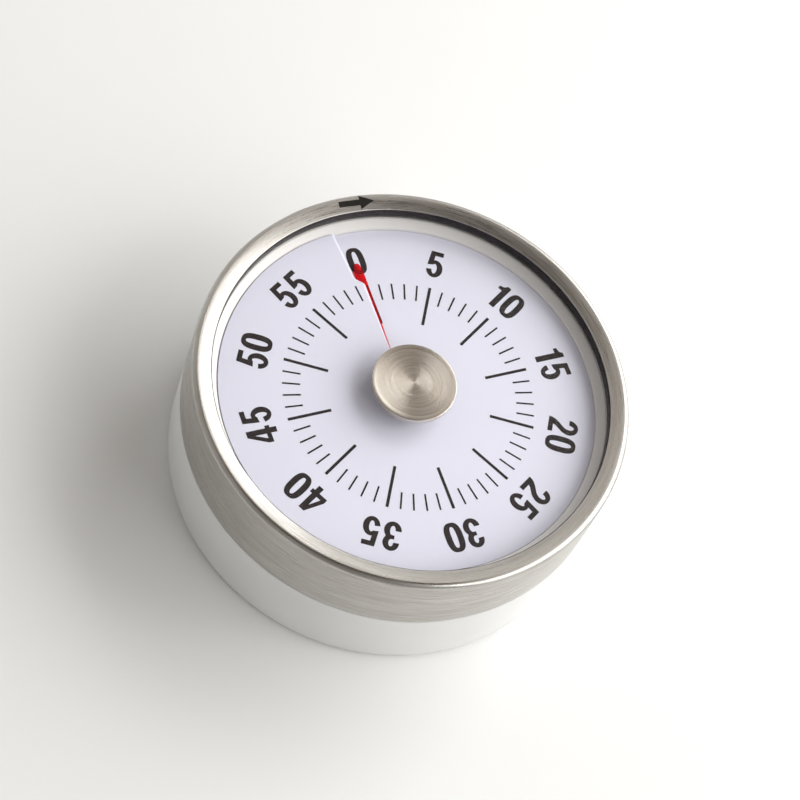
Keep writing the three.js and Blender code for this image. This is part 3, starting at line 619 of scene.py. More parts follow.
@dataclass(frozen=True)
class TintedFilm(Finish):
    """Red see-through film of the elapsed time."""

    colour: Colour = (0.95, 0.004, 0.012)
    deep: Colour = (0.88, 0.003, 0.01)
    transmission: float = 0.8

    def lay(self, bench: NodeBench) -> None:
        """Builds the film's nodes."""
        cloud = bench.noise(bench.place(), 300.0, 2.0)
        bench.link(
            bench.tint(bench.spread(cloud, 0.35, 0.65, (0, 1)), self.colour, self.deep),
            bench.shader.inputs["Base Color"],
        )
        bench.link(bench.spread(cloud, 0.3, 0.7, (0.12, 0.22)), bench.shader.inputs["Roughness"])
        bench.fix(Transmission_Weight=self.transmission, IOR=1.12, Specular_IOR_Level=0.3)


@dataclass(frozen=True)
class ClearSheet(Finish):
    """Clear window plastic: nearly all see-through, with a faint haze of wear."""

    alpha: float = 0.035

    def lay(self, bench: NodeBench) -> None:
        """Builds the sheet's nodes."""
        wear = bench.noise(bench.place(), 420.0, 5.0)
        bench.link(bench.spread(wear, 0.35, 0.75, (0.03, 0.09)), bench.shader.inputs["Roughness"])
        bench.fix(Base_Color=(0.12, 0.12, 0.13, 1), Alpha=self.alpha, IOR=1.49)


@dataclass(frozen=True)
class TableTop(Finish):
    """White table with a dull gloss."""

    colour: Colour = (0.86, 0.865, 0.86)
    shade: Colour = (0.83, 0.835, 0.83)

    def lay(self, bench: NodeBench) -> None:
        """Builds the table's nodes."""
        place = bench.place()
        cloud = bench.noise(place, 9.0, 3.0)
        bench.link(
            bench.tint(bench.spread(cloud, 0.3, 0.7, (0, 1)), self.colour, self.shade),
            bench.shader.inputs["Base Color"],
        )
        bench.link(bench.spread(cloud, 0.3, 0.7, (0.42, 0.5)), bench.shader.inputs["Roughness"])


WHITE_SHELL = MouldedPlastic("white_shell")
CARRIER_WHITE = MouldedPlastic("carrier_white", (0.88, 0.86, 0.84), (0.85, 0.83, 0.81), 0.4)
DIAL_CARD = MouldedPlastic("dial_card", (0.795, 0.8, 0.925), (0.775, 0.78, 0.905), 0.55, 0.004, 4000.0)
HUB_WHITE = MouldedPlastic("hub_white", (0.8, 0.8, 0.8), (0.76, 0.76, 0.76), 0.5)
LINER_BLACK = MouldedPlastic(
    "liner_black", (0.016, 0.011, 0.013), (0.024, 0.018, 0.02), 0.3, 0.006, gloss=0.2
)
RING_SIDE = BrushedMetal(
    "ring_side_steel", Grain.AROUND, (0.58, 0.565, 0.54), (0.43, 0.41, 0.38), turn=0.25
)
RING_LIP = BrushedMetal(
    "ring_lip_steel", Grain.STRAIGHT, (0.62, 0.59, 0.545), (0.54, 0.51, 0.465), 0.17, 0.2, 0.0, 3.0
)
# Knob steel: painted reflection. The darker grain colour is tinted warm brown to stand in for the brown
# reflections in the knob's dark sectors; the light and dark grain itself is the steel's own.
KNOB_STEEL_WITH_PAINTED_REFLECTION = BrushedMetal(
    "knob_steel_painted_brown_reflection", Grain.TURNED, (0.69, 0.655, 0.61), (0.5, 0.45, 0.38), 0.19, 0.95, 0.25, 60.0, 0.08
)
DIAL_INK = Ink("dial_ink")
ARROW_INK = Ink("arrow_ink", (0.008, 0.007, 0.006), (0.014, 0.012, 0.01))
RED_FILM = TintedFilm("red_time_film")
CLEAR_WINDOW = ClearSheet("clear_window_sheet")
WHITE_TABLE = TableTop("white_table")
ARBOR_STEEL = WorkedMetal("arbor_polish", (0.58, 0.58, 0.6), (0.45, 0.45, 0.46), 0.25)
SPRING_STEEL = WorkedMetal("blued_spring", (0.14, 0.17, 0.24), (0.2, 0.17, 0.16), 0.3)
BRASS = WorkedMetal("clock_brass", (0.72, 0.5, 0.2), (0.52, 0.34, 0.13), 0.3)
BELL_METAL = WorkedMetal("bell_nickel", (0.7, 0.71, 0.72), (0.6, 0.6, 0.6), 0.16)
FERRITE = MouldedPlastic("dark_ferrite", (0.03, 0.03, 0.032), (0.05, 0.05, 0.052), 0.6, 0.02, 1500.0)


# ---- parts of every sub-assembly ----------------------------------------------------------------


@dataclass
class SubAssembly:
    """Pieces that belong together; each kind builds and dresses its own."""

    pieces: list[bpy.types.Object] = field(default_factory=list, init=False)

    def build(self) -> None:
        """Builds and dresses the pieces."""
        raise NotImplementedError

    def fit(
        self,
        made: bpy.types.Object,
        body: Body,
        finishes: Finish | Sequence[Finish],
        slot: Slot | None = None,
        stands_for: Sequence[str] = (),
    ) -> bpy.types.Object:
        """Dresses a piece and puts it on its body.

        Args:
            made: The piece.
            body: The CAD body that it rides on.
            finishes: Its finish, or several in the order of its faces' material numbers.
            slot: The record's slot of its finish; not used.
            stands_for: CAD nodes that it replaces.

        Returns:
            The piece.
        """
        made.data.materials.clear()
        for finish in [finishes] if isinstance(finishes, Finish) else finishes:
            made.data.materials.append(finish.material())
        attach(made, body.value)
        if stands_for:
            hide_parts(*stands_for)
        self.pieces.append(made)
        return made


# ---- case ---------------------------------------------------------------------------------------


@dataclass
class CaseAssembly(SubAssembly):
    """White base with its back cover, magnets and screws."""

    wall: float = 2.2
    shoulder: float = 2.0
    spigot_outer: float = 36.1
    spigot_inner: float = 34.8
    ledge_width: float = 1.6
    ledge_bottom: float = 2.3
    ledge_top: float = 3.7
    groove_depth: float = 0.5
    groove_bottom: float = 16.7
    groove_top: float = 18.5
    shoulder_top: float = 15.6
    edge: float = 1.4
    top_edge: float = 0.35
    boss_radius: float = 2.6
    boss_height: float = 4.6
    screw_hole: float = 1.1
    head_hole: float = 2.0
    head_depth: float = 1.1
    screw_shank: float = 0.8
    screw_head: float = 0.7
    cross_half: tuple[float, float] = (1.15, 0.22)
    magnet_hole: float = 6.3
    magnet_depth: float = 1.4
    count: int = 3

    def build(self) -> None:
        """Builds the base, the cover, the magnets and the screws."""
        self.build_base()
        self.build_cover()
        for i in range(self.count):
            self.build_magnet(f"back_magnet_{i + 1}")
            self.build_screw(f"cover_screw_{i + 1}")

    def build_base(self) -> None:
        """Builds the base shell with its spigot, ledge and screw bosses."""
        place = Extent.of("base_housing")
        inside = place.radius - self.wall
        ledge = self.spigot_inner - self.ledge_width
        outline = eased([
            (self.spigot_inner, 0, 0.2),
            (place.radius, 0, self.edge),
            (place.radius, self.shoulder_top, self.top_edge),
            (self.spigot_outer, self.shoulder_top, 0),
            (self.spigot_outer, self.groove_bottom, 0.1),
            (self.spigot_outer - self.groove_depth, self.groove_bottom, 0),
            (self.spigot_outer - self.groove_depth, self.groove_top, 0),
            (self.spigot_outer, self.groove_top, 0.1),
            (self.spigot_outer, place.top, 0.25),
            (self.spigot_inner, place.top, 0.25),
            (self.spigot_inner, self.shoulder_top - self.shoulder, 0),
            (inside, self.shoulder_top - self.shoulder, 0.2),
            (inside, self.ledge_top, 0.3),
            (ledge, self.ledge_top, 0.15),
            (ledge, self.ledge_bottom, 0.1),
            (self.spigot_inner, self.ledge_bottom, 0),
        ])
        mesh = bmesh.new()
        turn_into(mesh, outline, 240)
        top = self.ledge_bottom + self.boss_height
        boss = eased([
            (self.screw_hole, self.ledge_bottom, 0.1),
            (self.boss_radius, self.ledge_bottom, 0.1),
            (self.boss_radius, top, 0.2),
            (self.screw_hole, top, 0.1),
        ], 3)
        for i in range(self.count):
            turn_into(mesh, boss, 48, Extent.of(f"cover_screw_{i + 1}").centre)
        made = finish_mesh("base_shell", mesh)
        self.fit(made, Body.BASE, WHITE_SHELL, Slot.WHITE_PLASTIC, ["base_housing"])

    def build_cover(self) -> None:
        """Builds the back cover with its magnet pockets and sunk screw holes."""
        place = Extent.of("back_cover")
        outline = eased([
            (0, place.bottom, 0),
            (place.radius, place.bottom, 0.35),
            (place.radius, place.top, 0.2),
            (0, place.top, 0),
        ])
        cover = turned("back_cover_disc", outline)
        cutters = []
        for i in range(self.count):
            magnet = Extent.of(f"back_magnet_{i + 1}").centre
            screw = Extent.of(f"cover_screw_{i + 1}").centre
            for centre, radius, depth in (
                (magnet, self.magnet_hole, self.magnet_depth),
                (screw, self.screw_hole, place.top + 1),
                (screw, self.head_hole, self.head_depth),
            ):
                drill = [(0, -1), (radius, -1), (radius, depth), (0, depth)]
                cutters.append(turned("cutter", drill, 64, centre))
        carve(cover, cutters)
        self.fit(cover, Body.BASE, WHITE_SHELL, Slot.WHITE_PLASTIC, ["back_cover"])

    def build_magnet(self, node: str) -> None:
        """Builds a pressed disc magnet.

        Args:
            node: The CAD magnet that it replaces.
        """
        place = Extent.of(node)
        outline = eased([
            (0, place.bottom, 0),
            (place.radius, place.bottom, 0.18),
            (place.radius, place.top, 0.18),
            (0, place.top, 0),
        ], 3)
        made = turned(f"{node}_disc", outline, 96, place.centre)
        self.fit(made, Body.BASE, FERRITE, Slot.FERRITE, [node])

    def build_screw(self, node: str) -> None:
        """Builds a cross-head screw.

        Args:
            node: The CAD screw that it replaces.
        """
        place = Extent.of(node)
        head = self.screw_head
        made = turned(f"{node}_cross", threaded(place, self.screw_shank, head), 48, place.centre)
        cross = []
        for size in (self.cross_half, self.cross_half[::-1]):
            mesh = bmesh.new()
            x, y = place.centre
            corners = [
                (x - size[0], y - size[1]),
                (x + size[0], y - size[1]),
                (x + size[0], y + size[1]),
                (x - size[0], y + size[1]),
            ]
            raise_into(mesh, corners, place.bottom - 1, place.bottom + head * 0.6)
            cross.append(finish_mesh("cutter", mesh))
        carve(made, cross)
        self.fit(made, Body.BASE, ARBOR_STEEL, Slot.ARBOR_STEEL, [node])


def threaded(place: Extent, shank: float, head: float) -> list[tuple[float, float]]:
    """Draws the outline of a small screw with a chamfered head and a thread.

    Args:
        place: The screw's place.
        shank: Radius over the thread.
        head: Height of the head, which is at the bottom.

    Returns:
        The outline's points.
    """
    length = place.top - place.bottom
    points = [(0.0, 0.0), (place.radius * 0.82, 0.0), (place.radius, head * 0.3), (place.radius, head)]
    pitch, root = 0.4, shank * 0.8
    z = head
    while z + pitch < length - 0.3:
        points += [(root, z), (shank, z + pitch / 2)]
        z += pitch
    points += [(root, z), (0.0, length)]
    return [(r, place.bottom + z) for r, z in points]


# ---- steel ring, window and knob ------------------------------------------------------------------


@dataclass
class RingAssembly(SubAssembly):
    """Steel ring with its black liner, printed arrow, inner sleeve and window."""

    sheet: float = 0.8
    flange_sheet: float = 0.6
    lip_width: float = 3.4
    fall: float = 0.5
    fall_power: float = 1.35
    outer_edge: float = 0.95
    inner_edge: float = 0.16
    flange_gap: float = 0.3
    liner: float = 0.12
    liner_gap: float = 0.03
    arrow_radius: float = 37.2
    arrow_clock: float = 3.3
    arrow_half_length: float = 3.35
    arrow_head_length: float = 2.7
    arrow_head_half: float = 1.3
    arrow_shaft_half: float = 0.55
    ink_lift: float = 0.015
    sleeve_inner: float = 36.4
    hook_bottom: float = 17.0
    hook_reach: float = 0.5
    hook_flat: float = 0.95
    hook_height: float = 1.2
    window_hole: float = 3.4

    def build(self) -> None:
        """Builds the ring, the liner, the arrow, the sleeve and the window."""
        self.place = Extent.of("steel_ring")
        self.window_top = Extent.of("window").top
        self.build_ring()
        self.build_liner()
        self.build_arrow()
        self.build_sleeve()
        self.build_window()

    def lip_height(self, radius: float) -> float:
        """Finds the height of the lip's upper face.

        Args:
            radius: Distance from the axis, in millimetres.

        Returns:
            The height, in millimetres.
        """
        crown = self.place.radius - self.outer_edge
        across = (crown - radius) / (self.lip_width - self.outer_edge)
        return self.place.top - self.fall * max(across, 0.0) ** self.fall_power

    def build_ring(self) -> None:
        """Builds the drawn steel ring: side, rounded lip and inner flange."""
        outer, top, bottom = self.place.radius, self.place.top, self.place.bottom
        flange = outer - self.lip_width
        start = outer - self.outer_edge
        shoulder = self.lip_height(start)
        outline = [(outer - self.sheet, bottom), (outer - 0.08, bottom), (outer, bottom + 0.08)]
        outside = (self.outer_edge, self.outer_edge)
        outline += arc((start, shoulder - self.outer_edge), outside, 0, 88, 14)
        inner_start = flange + self.inner_edge
        steps = 16
        for i in range(steps + 1):
            radius = start + (inner_start - start) * i / steps
            outline.append((radius, self.lip_height(radius)))
        inner_top = self.lip_height(inner_start)
        inside = (self.inner_edge, self.inner_edge)
        outline += arc((inner_start, inner_top - self.inner_edge), inside, 100, 180, 6)
        under = top - self.fall - self.sheet
        flange_bottom = self.window_top + self.flange_gap
        outline += [
            (flange, flange_bottom + 0.1),
            (flange + 0.1, flange_bottom),
            (flange + self.flange_sheet, flange_bottom),
            (flange + self.flange_sheet, under),
            (outer - self.sheet, under),
        ]
        made = turned("steel_ring_body", outline, 288)
        lip_start = outer - self.outer_edge * 0.6
        for face in made.data.polygons:
            middle = face.center / MM
            on_lip = math.hypot(middle.x, middle.y) < lip_start and middle.z > under + 0.5
            face.material_index = 1 if on_lip else 0
        self.fit(made, Body.WINDER, [RING_SIDE, RING_LIP], Slot.BRUSHED_STEEL, ["steel_ring"])

    def build_liner(self) -> None:
        """Builds the thin black liner on the flange's inner wall."""
        wall = self.place.radius - self.lip_width - 0.01
        bottom = self.window_top + self.liner_gap
        outline = eased([
            (wall - self.liner, bottom, 0.04),
            (wall, bottom, 0),
            (wall, self.place.top - self.fall - self.inner_edge, 0),
            (wall - self.liner, self.place.top - self.fall - self.inner_edge - 0.06, 0.04),
        ], 3)
        self.fit(turned("flange_liner", outline, 288), Body.WINDER, LINER_BLACK)

    def build_arrow(self) -> None:
        """Builds the printed arrow on the lip, which shows the way to wind."""
        half, head = self.arrow_half_length, self.arrow_head_length
        neck = half - head
        mesh = bmesh.new()
        steps = 24
        along = Matrix.Rotation(math.radians(-self.arrow_clock), 2)
        lower, upper = [], []
        for i in range(steps + 1):
            reach = -half + (half + neck) * i / steps
            lower.append((reach, -self.arrow_shaft_half))
            upper.append((reach, self.arrow_shaft_half))
        for i in range(steps + 1):
            reach = neck + head * i / steps
            width = self.arrow_head_half * (1 - i / steps)
            lower.append((reach, -width))
            upper.append((reach, width))
        across = 6
        rows = []
        for low, high in zip(lower, upper):
            row = []
            for j in range(across + 1):
                share = j / across
                aside = low[1] * (1 - share) + high[1] * share
                flat = along @ Vector((low[0], self.arrow_radius + aside))
                height = self.lip_height(flat.length) + self.ink_lift
                row.append(mesh.verts.new((flat.x * MM, flat.y * MM, height * MM)))
            rows.append(row)
        for first, second in zip(rows, rows[1:]):
            for j in range(across):
                mesh.faces.new((first[j], second[j], second[j + 1], first[j + 1]))
        thicken_down(mesh, 0.03)
        self.fit(finish_mesh("turn_arrow", mesh), Body.WINDER, ARROW_INK)

    def build_sleeve(self) -> None:
        """Builds the plastic sleeve inside the ring, with its snap hook."""
        place = Extent.of("ring_sleeve")
        inner, hook = self.sleeve_inner, self.hook_bottom
        outline = eased([
            (inner, place.bottom, 0.15),
            (place.radius, place.bottom, 0.15),
            (place.radius, place.top, 0.2),
            (inner + 0.1, place.top, 0.1),
            (inner, hook + self.hook_height, 0),
            (inner - self.hook_reach, hook + self.hook_flat, 0.1),
            (inner - self.hook_reach, hook, 0.1),
            (inner, hook, 0),
        ], 3)
        made = turned("sleeve_body", outline)
        self.fit(made, Body.WINDER, WHITE_SHELL, Slot.WHITE_PLASTIC, ["ring_sleeve"])

    def build_window(self) -> None:
        """Builds the clear window."""
        place = Extent.of("window")
        outline = eased([
            (self.window_hole, place.bottom, 0.1),
            (place.radius, place.bottom, 0.1),
            (place.radius, place.top, 0.1),
            (self.window_hole, place.top, 0.1),
        ], 2)
        made = turned("window_disc", outline)
        self.fit(made, Body.WINDER, CLEAR_WINDOW, Slot.CLEAR_WINDOW, ["window"])


def thicken_down(mesh: bmesh.types.BMesh, depth: float) -> None:
    """Closes an open patch into a thin solid below it.

    Args:
        mesh: The mesh, which holds the patch only.
        depth: The solid's thickness, in millimetres.
    """
    patch = list(mesh.faces)
    made = bmesh.ops.extrude_face_region(mesh, geom=patch)["geom"]
    for vert in (part for part in made if isinstance(part, bmesh.types.BMVert)):
        vert.co.z -= depth * MM


@dataclass
class KnobAssembly(SubAssembly):
    """Turned steel cap at the dial's centre."""

    dish: float = 0.1
    edge: float = 0.12
    stem: float = 3.1
    bore: float = 1.8
    crown_wall: float = 0.9
    lift: float = 1.2
    under_inset: float = 0.3
    face_inset: float = 0.35
    face_drop: float = 0.03

    def build(self) -> None:
        """Builds the cap with its dished face and its stem."""
        place = Extent.of("centre_knob")
        bottom = Extent.of("window").top + self.lift
        rim = place.radius - self.edge
        outline = [(self.bore, place.bottom), (self.stem, place.bottom), (self.stem, bottom)]
        outline += [(rim - self.under_inset, bottom)]
        outline += arc((rim, bottom + self.edge), (self.edge, self.edge), -90, 0, 5)
        outline += arc((rim, place.top - self.edge), (self.edge, self.edge), 0, 90, 6)
        steps = 14
        start = rim - self.face_inset
        for i in range(steps + 1):
            radius = start * (1 - i / steps)
            drop = self.dish * (1 - (radius / start) ** 2)
            outline.append((radius, place.top - self.face_drop - drop))
        outline += [(0, place.top - self.crown_wall), (self.bore, place.top - self.crown_wall)]
        made = turned("knob_cap", outline, 192)
        self.fit(made, Body.WINDER, KNOB_STEEL_WITH_PAINTED_REFLECTION, Slot.BRUSHED_STEEL, ["centre_knob"])


# ---- dial -----------------------------------------------------------------------------------------


@dataclass(frozen=True)
class Helix:
    """The dial's winding ramp: its height at each place, and its jogged slit."""

    low: float
    rise: float
    shift: float = 4.4
    jog_start: float = 22.5
    jog_end: float = 24.5
    aside: float = 0.45

    def inner_slit(self, radius: float) -> float:
        """Gives the clockwise angle of the slit's straight inner run at a radius."""
        return -math.degrees(self.aside / radius)

    def slit(self, radius: float) -> float:
        """Gives the slit's clockwise angle at a radius."""
        inner = self.inner_slit(radius)
        return inner - (self.shift + inner) * smooth_step(self.jog_start, self.jog_end, radius)

    def height(self, turn: float) -> float:
        """Gives the dial's upper face at a turn from the slit."""
        return self.low + self.rise * turn / 360

    def height_at(self, x: float, y: float) -> float:
        """Finds the dial's upper face under a point.

        Args:
            x: The point's x, in millimetres.
            y: The point's y, in millimetres.

        Returns:
            The height, in millimetres.
        """
        clock = math.degrees(math.atan2(x, y))
        turn = clock - self.slit(math.hypot(x, y))
        return self.height(turn % 360)


def helical_into(
    mesh: bmesh.types.BMesh,
    turns: Sequence[float],
    radii: Callable[[float], Sequence[float]],
    slit: Callable[[float], float],
    low: Callable[[float], float],
    high: Callable[[float], float],
) -> None:
    """Builds a slab that winds upwards round the axis.

    Args:
        mesh: The mesh that gets the faces.
        turns: Clockwise stations, in degrees.
        radii: Radii across the slab at a station.
        slit: Angle added at a radius.
        low: Height of the lower face at a station.
        high: Height of the upper face at a station.
    """
    layers = []
    for height in (low, high):
        layer = []
        for turn in turns:
            row = []
            for radius in radii(turn):
                x, y = polar(radius, turn + slit(radius))
                row.append(mesh.verts.new((x * MM, y * MM, height(turn) * MM)))
            layer.append(row)
        layers.append(layer)
    bottom, top = layers
    across = len(bottom[0])
    for i in range(len(turns) - 1):
        for j in range(across - 1):
            for layer in layers:
                mesh.faces.new((layer[i][j], layer[i + 1][j], layer[i + 1][j + 1], layer[i][j + 1]))
        for j in (0, across - 1):
            mesh.faces.new((bottom[i][j], bottom[i + 1][j], top[i + 1][j], top[i][j]))
    for i in (0, len(turns) - 1):
        for j in range(across - 1):
            mesh.faces.new((bottom[i][j], bottom[i][j + 1], top[i][j + 1], top[i][j]))


class Numerals:
    """Outlines of the bold narrow figures, on a height of 100."""

    STEPS = 14

    def zero(self) -> list[Outline]:
        """Draws the figure 0."""
        outer = [self.oval(27, 27.5, 51, i) for i in range(4 * self.STEPS)]
        inner = [self.oval(27, 8.5, 36.5, i) for i in range(4 * self.STEPS)]
        return [outer, inner]

    def oval(
        self, middle: float, half_width: float, half_height: float, step: int
    ) -> tuple[float, float]:
        """Finds a point of a squared oval round the figure's middle.

        Args:
            middle: Its middle from the left.
            half_width: Half its width.
            half_height: Half its height.
            step: Which point.

        Returns:
            The point.
        """
        angle = 2 * math.pi * step / (4 * self.STEPS)
        c, s = math.cos(angle), math.sin(angle)
        power = 2 / 2.7
        x = middle + half_width * math.copysign(abs(c) ** power, c)
        y = 50 + half_height * math.copysign(abs(s) ** power, s)
        return x, y

    def one(self) -> list[Outline]:
        """Draws the figure 1."""
        flag = [(24, 101), (21, 93), (15, 88), (4, 85.5), (4, 73)]
        return [[(19, 0), (38, 0), (38, 101), *flag, (19, 73)]]

    def two(self) -> list[Outline]:
        """Draws the figure 2."""
        points = arc((27.5, 71), (25.5, 30), 184, -26, 2 * self.STEPS)
        points += [(46.5, 47), (38, 36), (30, 26), (25.5, 16), (52.5, 16), (52.5, 0), (2.5, 0)]
        points += [(3.5, 11), (8, 23), (15, 34), (24, 45), (31, 54)]
        points += arc((27.5, 71), (8, 15.5), -42, 184, self.STEPS)
        return [points]

    def three(self) -> list[Outline]:
        """Draws the figure 3."""
        points = arc((27, 73), (24.5, 28), 188, -36, 2 * self.STEPS)
        points += arc((27.5, 29.5), (26, 30.5), 46, -178, 2 * self.STEPS)
        points += arc((27.5, 30), (8, 16.5), 182, 450, self.STEPS)
        points += [(19.5, 46.5), (19.5, 60)]
        points += arc((27, 73), (7, 13), -90, 188, self.STEPS)
        return [points]

    def four(self) -> list[Outline]:
        """Draws the figure 4."""
        outer = [(27, 101), (47, 101), (47, 36), (55, 36), (55, 21), (47, 21)]
        outer += [(47, 0), (29.5, 0), (29.5, 21), (0, 21), (0, 37)]
        return [outer, [(29.5, 36), (29.5, 75), (14, 36)]]

    def five(self) -> list[Outline]:
        """Draws the figure 5."""
        points = [(10.5, 101), (50, 101), (50, 84.5), (25, 84.5), (23, 63.5)]
        points += arc((28.5, 33), (25.5, 34), 99, -171, 2 * self.STEPS)
        points += arc((28, 33), (8, 19.5), 189, 489, 2 * self.STEPS)
        points += [(5, 45)]
        return [points]

    def draw(self, figure: str) -> tuple[list[Outline], float]:
        """Draws a figure.

        Args:
            figure: One of 0 to 5.

        Returns:
            Its outlines, with the outer one first, and its width.
        """
        makers = (self.zero, self.one, self.two, self.three, self.four, self.five)
        widths = (54, 42, 55, 54, 56, 54)
        return makers[int(figure)](), widths[int(figure)]


@dataclass
class DialAssembly(SubAssembly):
    """Helical dial with its printed scale, in the white carrier."""

    thickness: float = 0.3
    inner: float = 5.1
    bore: float = 34.0
    radius: float = 33.92
    under_dial: float = 0.8
    wall: float = 1.8
    slope_radius: float = 35.5
    rim_radius: float = 35.95
    rim: float = 1.7
    floor: float = 1.2
    ramp_inner: float = 28.3
    gap: float = 0.3
    figure_height: float = 5.45
    figure_middle: float = 28.05
    figure_space: float = 8.0
    figure_stretch: float = 1.08
    long_mark: tuple[float, float] = (14.8, 22.85)
    short_mark: tuple[float, float] = (19.5, 22.7)
    long_half: float = 0.27
    short_half: float = 0.16
    first_half: float = 0.2
    first_mark: float = 0.25
    lip: float = 1.0
    lip_drop: float = 0.22
    card_edge: float = 0.08
    bore_through: float = 1.8
    seat_tuck: float = 0.25
    boss_hole: float = 1.1
    boss_radius: float = 2.2
    ink: float = 0.02

    def build(self) -> None:
        """Builds the carrier, the dial, the marks and the figures."""
        place = Extent.of("dial")
        low = place.bottom + self.thickness
        self.helix = Helix(low, place.top - low)
        self.build_carrier()
        self.build_card()
        self.build_marks()
        for minute in range(0, 60, 5):
            self.build_figures(minute)

    def build_carrier(self) -> None:
        """Builds the carrier's cup, its helical seat and its screw bosses."""
        place = Extent.of("dial_carrier")
        floor_top = Extent.of("dial").bottom - self.under_dial
        rim_bottom = place.top - self.rim
        outer = self.bore + 0.5
        outline = eased([
            (self.bore_through, floor_top - self.floor, 0),
            (outer, floor_top - self.floor, 0.2),
            (outer, rim_bottom, 0.1),
            (self.rim_radius, rim_bottom, 0.1),
            (self.rim_radius, place.top, 0.15),
            (self.slope_radius, place.top, 0.2),
            (self.bore, floor_top + self.wall, 0.5),
            (self.bore, floor_top, 0.1),
            (self.bore_through, floor_top, 0),
        ])
        mesh = bmesh.new()
        turn_into(mesh, outline, 240)
        seat = self.helix.shift / 2
        helical_into(
            mesh,
            [i * (360 - 2 * seat) / 180 for i in range(181)],
            lambda _: (self.ramp_inner, self.bore + self.seat_tuck),
            lambda _: -seat,
            lambda _: floor_top - self.floor / 2,
            lambda turn: self.helix.height(turn) - self.thickness - self.gap,
        )
        for i in range(3):
            centre = Extent.of(f"movement_screw_{i + 1}").centre
            boss = eased([
                (self.boss_hole, place.bottom, 0),
                (self.boss_radius, place.bottom, 0.15),
                (self.boss_radius, floor_top - self.floor / 2, 0),
                (self.boss_hole, floor_top - self.floor / 2, 0),
            ], 3)
            turn_into(mesh, boss, 40, centre)
        made = finish_mesh("carrier_cup", mesh)
        self.fit(made, Body.BASE, CARRIER_WHITE, Slot.WHITE_PLASTIC, ["dial_carrier"])

    def build_card(self) -> None:
        """Builds the dial itself."""
        first, last = self.helix.jog_start, self.helix.jog_end
        jog = [first + (last - first) * i / 10 for i in range(11)]
        rim = (self.radius - self.card_edge, self.radius)
        radii = [self.inner, 10.0, 15.0, 20.0, *jog, 27.0, 30.0, 32.5, *rim]
        mesh = bmesh.new()
        turns = [i * 1.5 for i in range(240)] + [360 - self.lip * (1 - i / 6) for i in range(7)]
        helical_into(
            mesh,
            turns,
            lambda _: radii,
            self.helix.slit,
            lambda turn: self.helix.height(turn) - self.thickness,
            self.card_top,
        )
        self.fit(finish_mesh("dial_card", mesh), Body.BASE, DIAL_CARD, Slot.DIAL_WHITE, ["dial"])

    def card_top(self, turn: float) -> float:
        """Finds the dial's upper face, which is rounded down at the slit's raised edge.

        Args:
            turn: Clockwise turn from the slit, in degrees.

        Returns:
            The height, in millimetres.
        """
        across = max(turn - 360 + self.lip, 0.0) / self.lip
        return self.helix.height(turn) - self.lip_drop * across**2

    def lay_down(self, mesh: bmesh.types.BMesh) -> None:
        """Lays a flat print on the dial and gives it its thickness.

        Args:
            mesh: A flat patch whose x and y are in place.
        """
        for vert in mesh.verts:
            vert.co.z = (self.helix.height_at(vert.co.x / MM, vert.co.y / MM) + self.ink) * MM
        thicken_down(mesh, 2 * self.ink)

    def build_marks(self) -> None:
        """Builds the minute marks."""
        mesh = bmesh.new()
        for minute in range(60):
            long = minute % 5 == 0
            start, end = self.long_mark if long else self.short_mark
            half = self.long_half if long else self.short_half
            aside = 0.0
            if minute == 0:
                half, aside = self.first_half, self.first_mark
            turn = Matrix.Rotation(math.radians(-6 * minute), 2)
            steps = 6
            rows = []
            for i in range(steps + 1):
                reach = start + (end - start) * i / steps
                ends = [turn @ Vector((aside + side * half, reach)) for side in (-1, 1)]
                rows.append([mesh.verts.new((point.x * MM, point.y * MM, 0)) for point in ends])
            for first, second in zip(rows, rows[1:]):
                mesh.faces.new((first[0], first[1], second[1], second[0]))
        self.lay_down(mesh)
        self.fit(finish_mesh("minute_marks", mesh), Body.BASE, DIAL_INK)

    def build_figures(self, minute: int) -> None:
        """Builds the figures of one five-minute mark.

        Args:
            minute: The number to print.
        """
        numerals = Numerals()
        figures = [numerals.draw(figure) for figure in str(minute)]
        width = sum(each[1] for each in figures) + self.figure_space * (len(figures) - 1)
        curve = bpy.data.curves.new("figures", "CURVE")
        curve.dimensions, curve.fill_mode = "2D", "BOTH"
        size = self.figure_height / 100
        turn = Matrix.Rotation(math.radians(-6 * minute), 2)
        left = -width / 2
        for outlines, advance in figures:
            for outline in outlines:
                spline = curve.splines.new("POLY")
                spline.points.add(len(outline) - 1)
                for point, (x, y) in zip(spline.points, outline):
                    across = (left + x) * size * self.figure_stretch
                    flat = turn @ Vector((across, self.figure_middle + (y - 50) * size))
                    point.co = (flat.x * MM, flat.y * MM, 0, 1)
                spline.use_cyclic_u = True
            left += advance + self.figure_space
        holder = bpy.data.objects.new("figures", curve)
        bpy.context.scene.collection.objects.link(holder)
        depsgraph = bpy.context.evaluated_depsgraph_get()
        flat_mesh = bpy.data.meshes.new_from_object(holder.evaluated_get(depsgraph))
        bpy.data.objects.remove(holder)
        mesh = bmesh.new()
        mesh.from_mesh(flat_mesh)
        bmesh.ops.remove_doubles(mesh, verts=mesh.verts, dist=1e-8)
        self.lay_down(mesh)
        self.fit(finish_mesh(f"figures_{minute:02d}", mesh), Body.BASE, DIAL_INK)


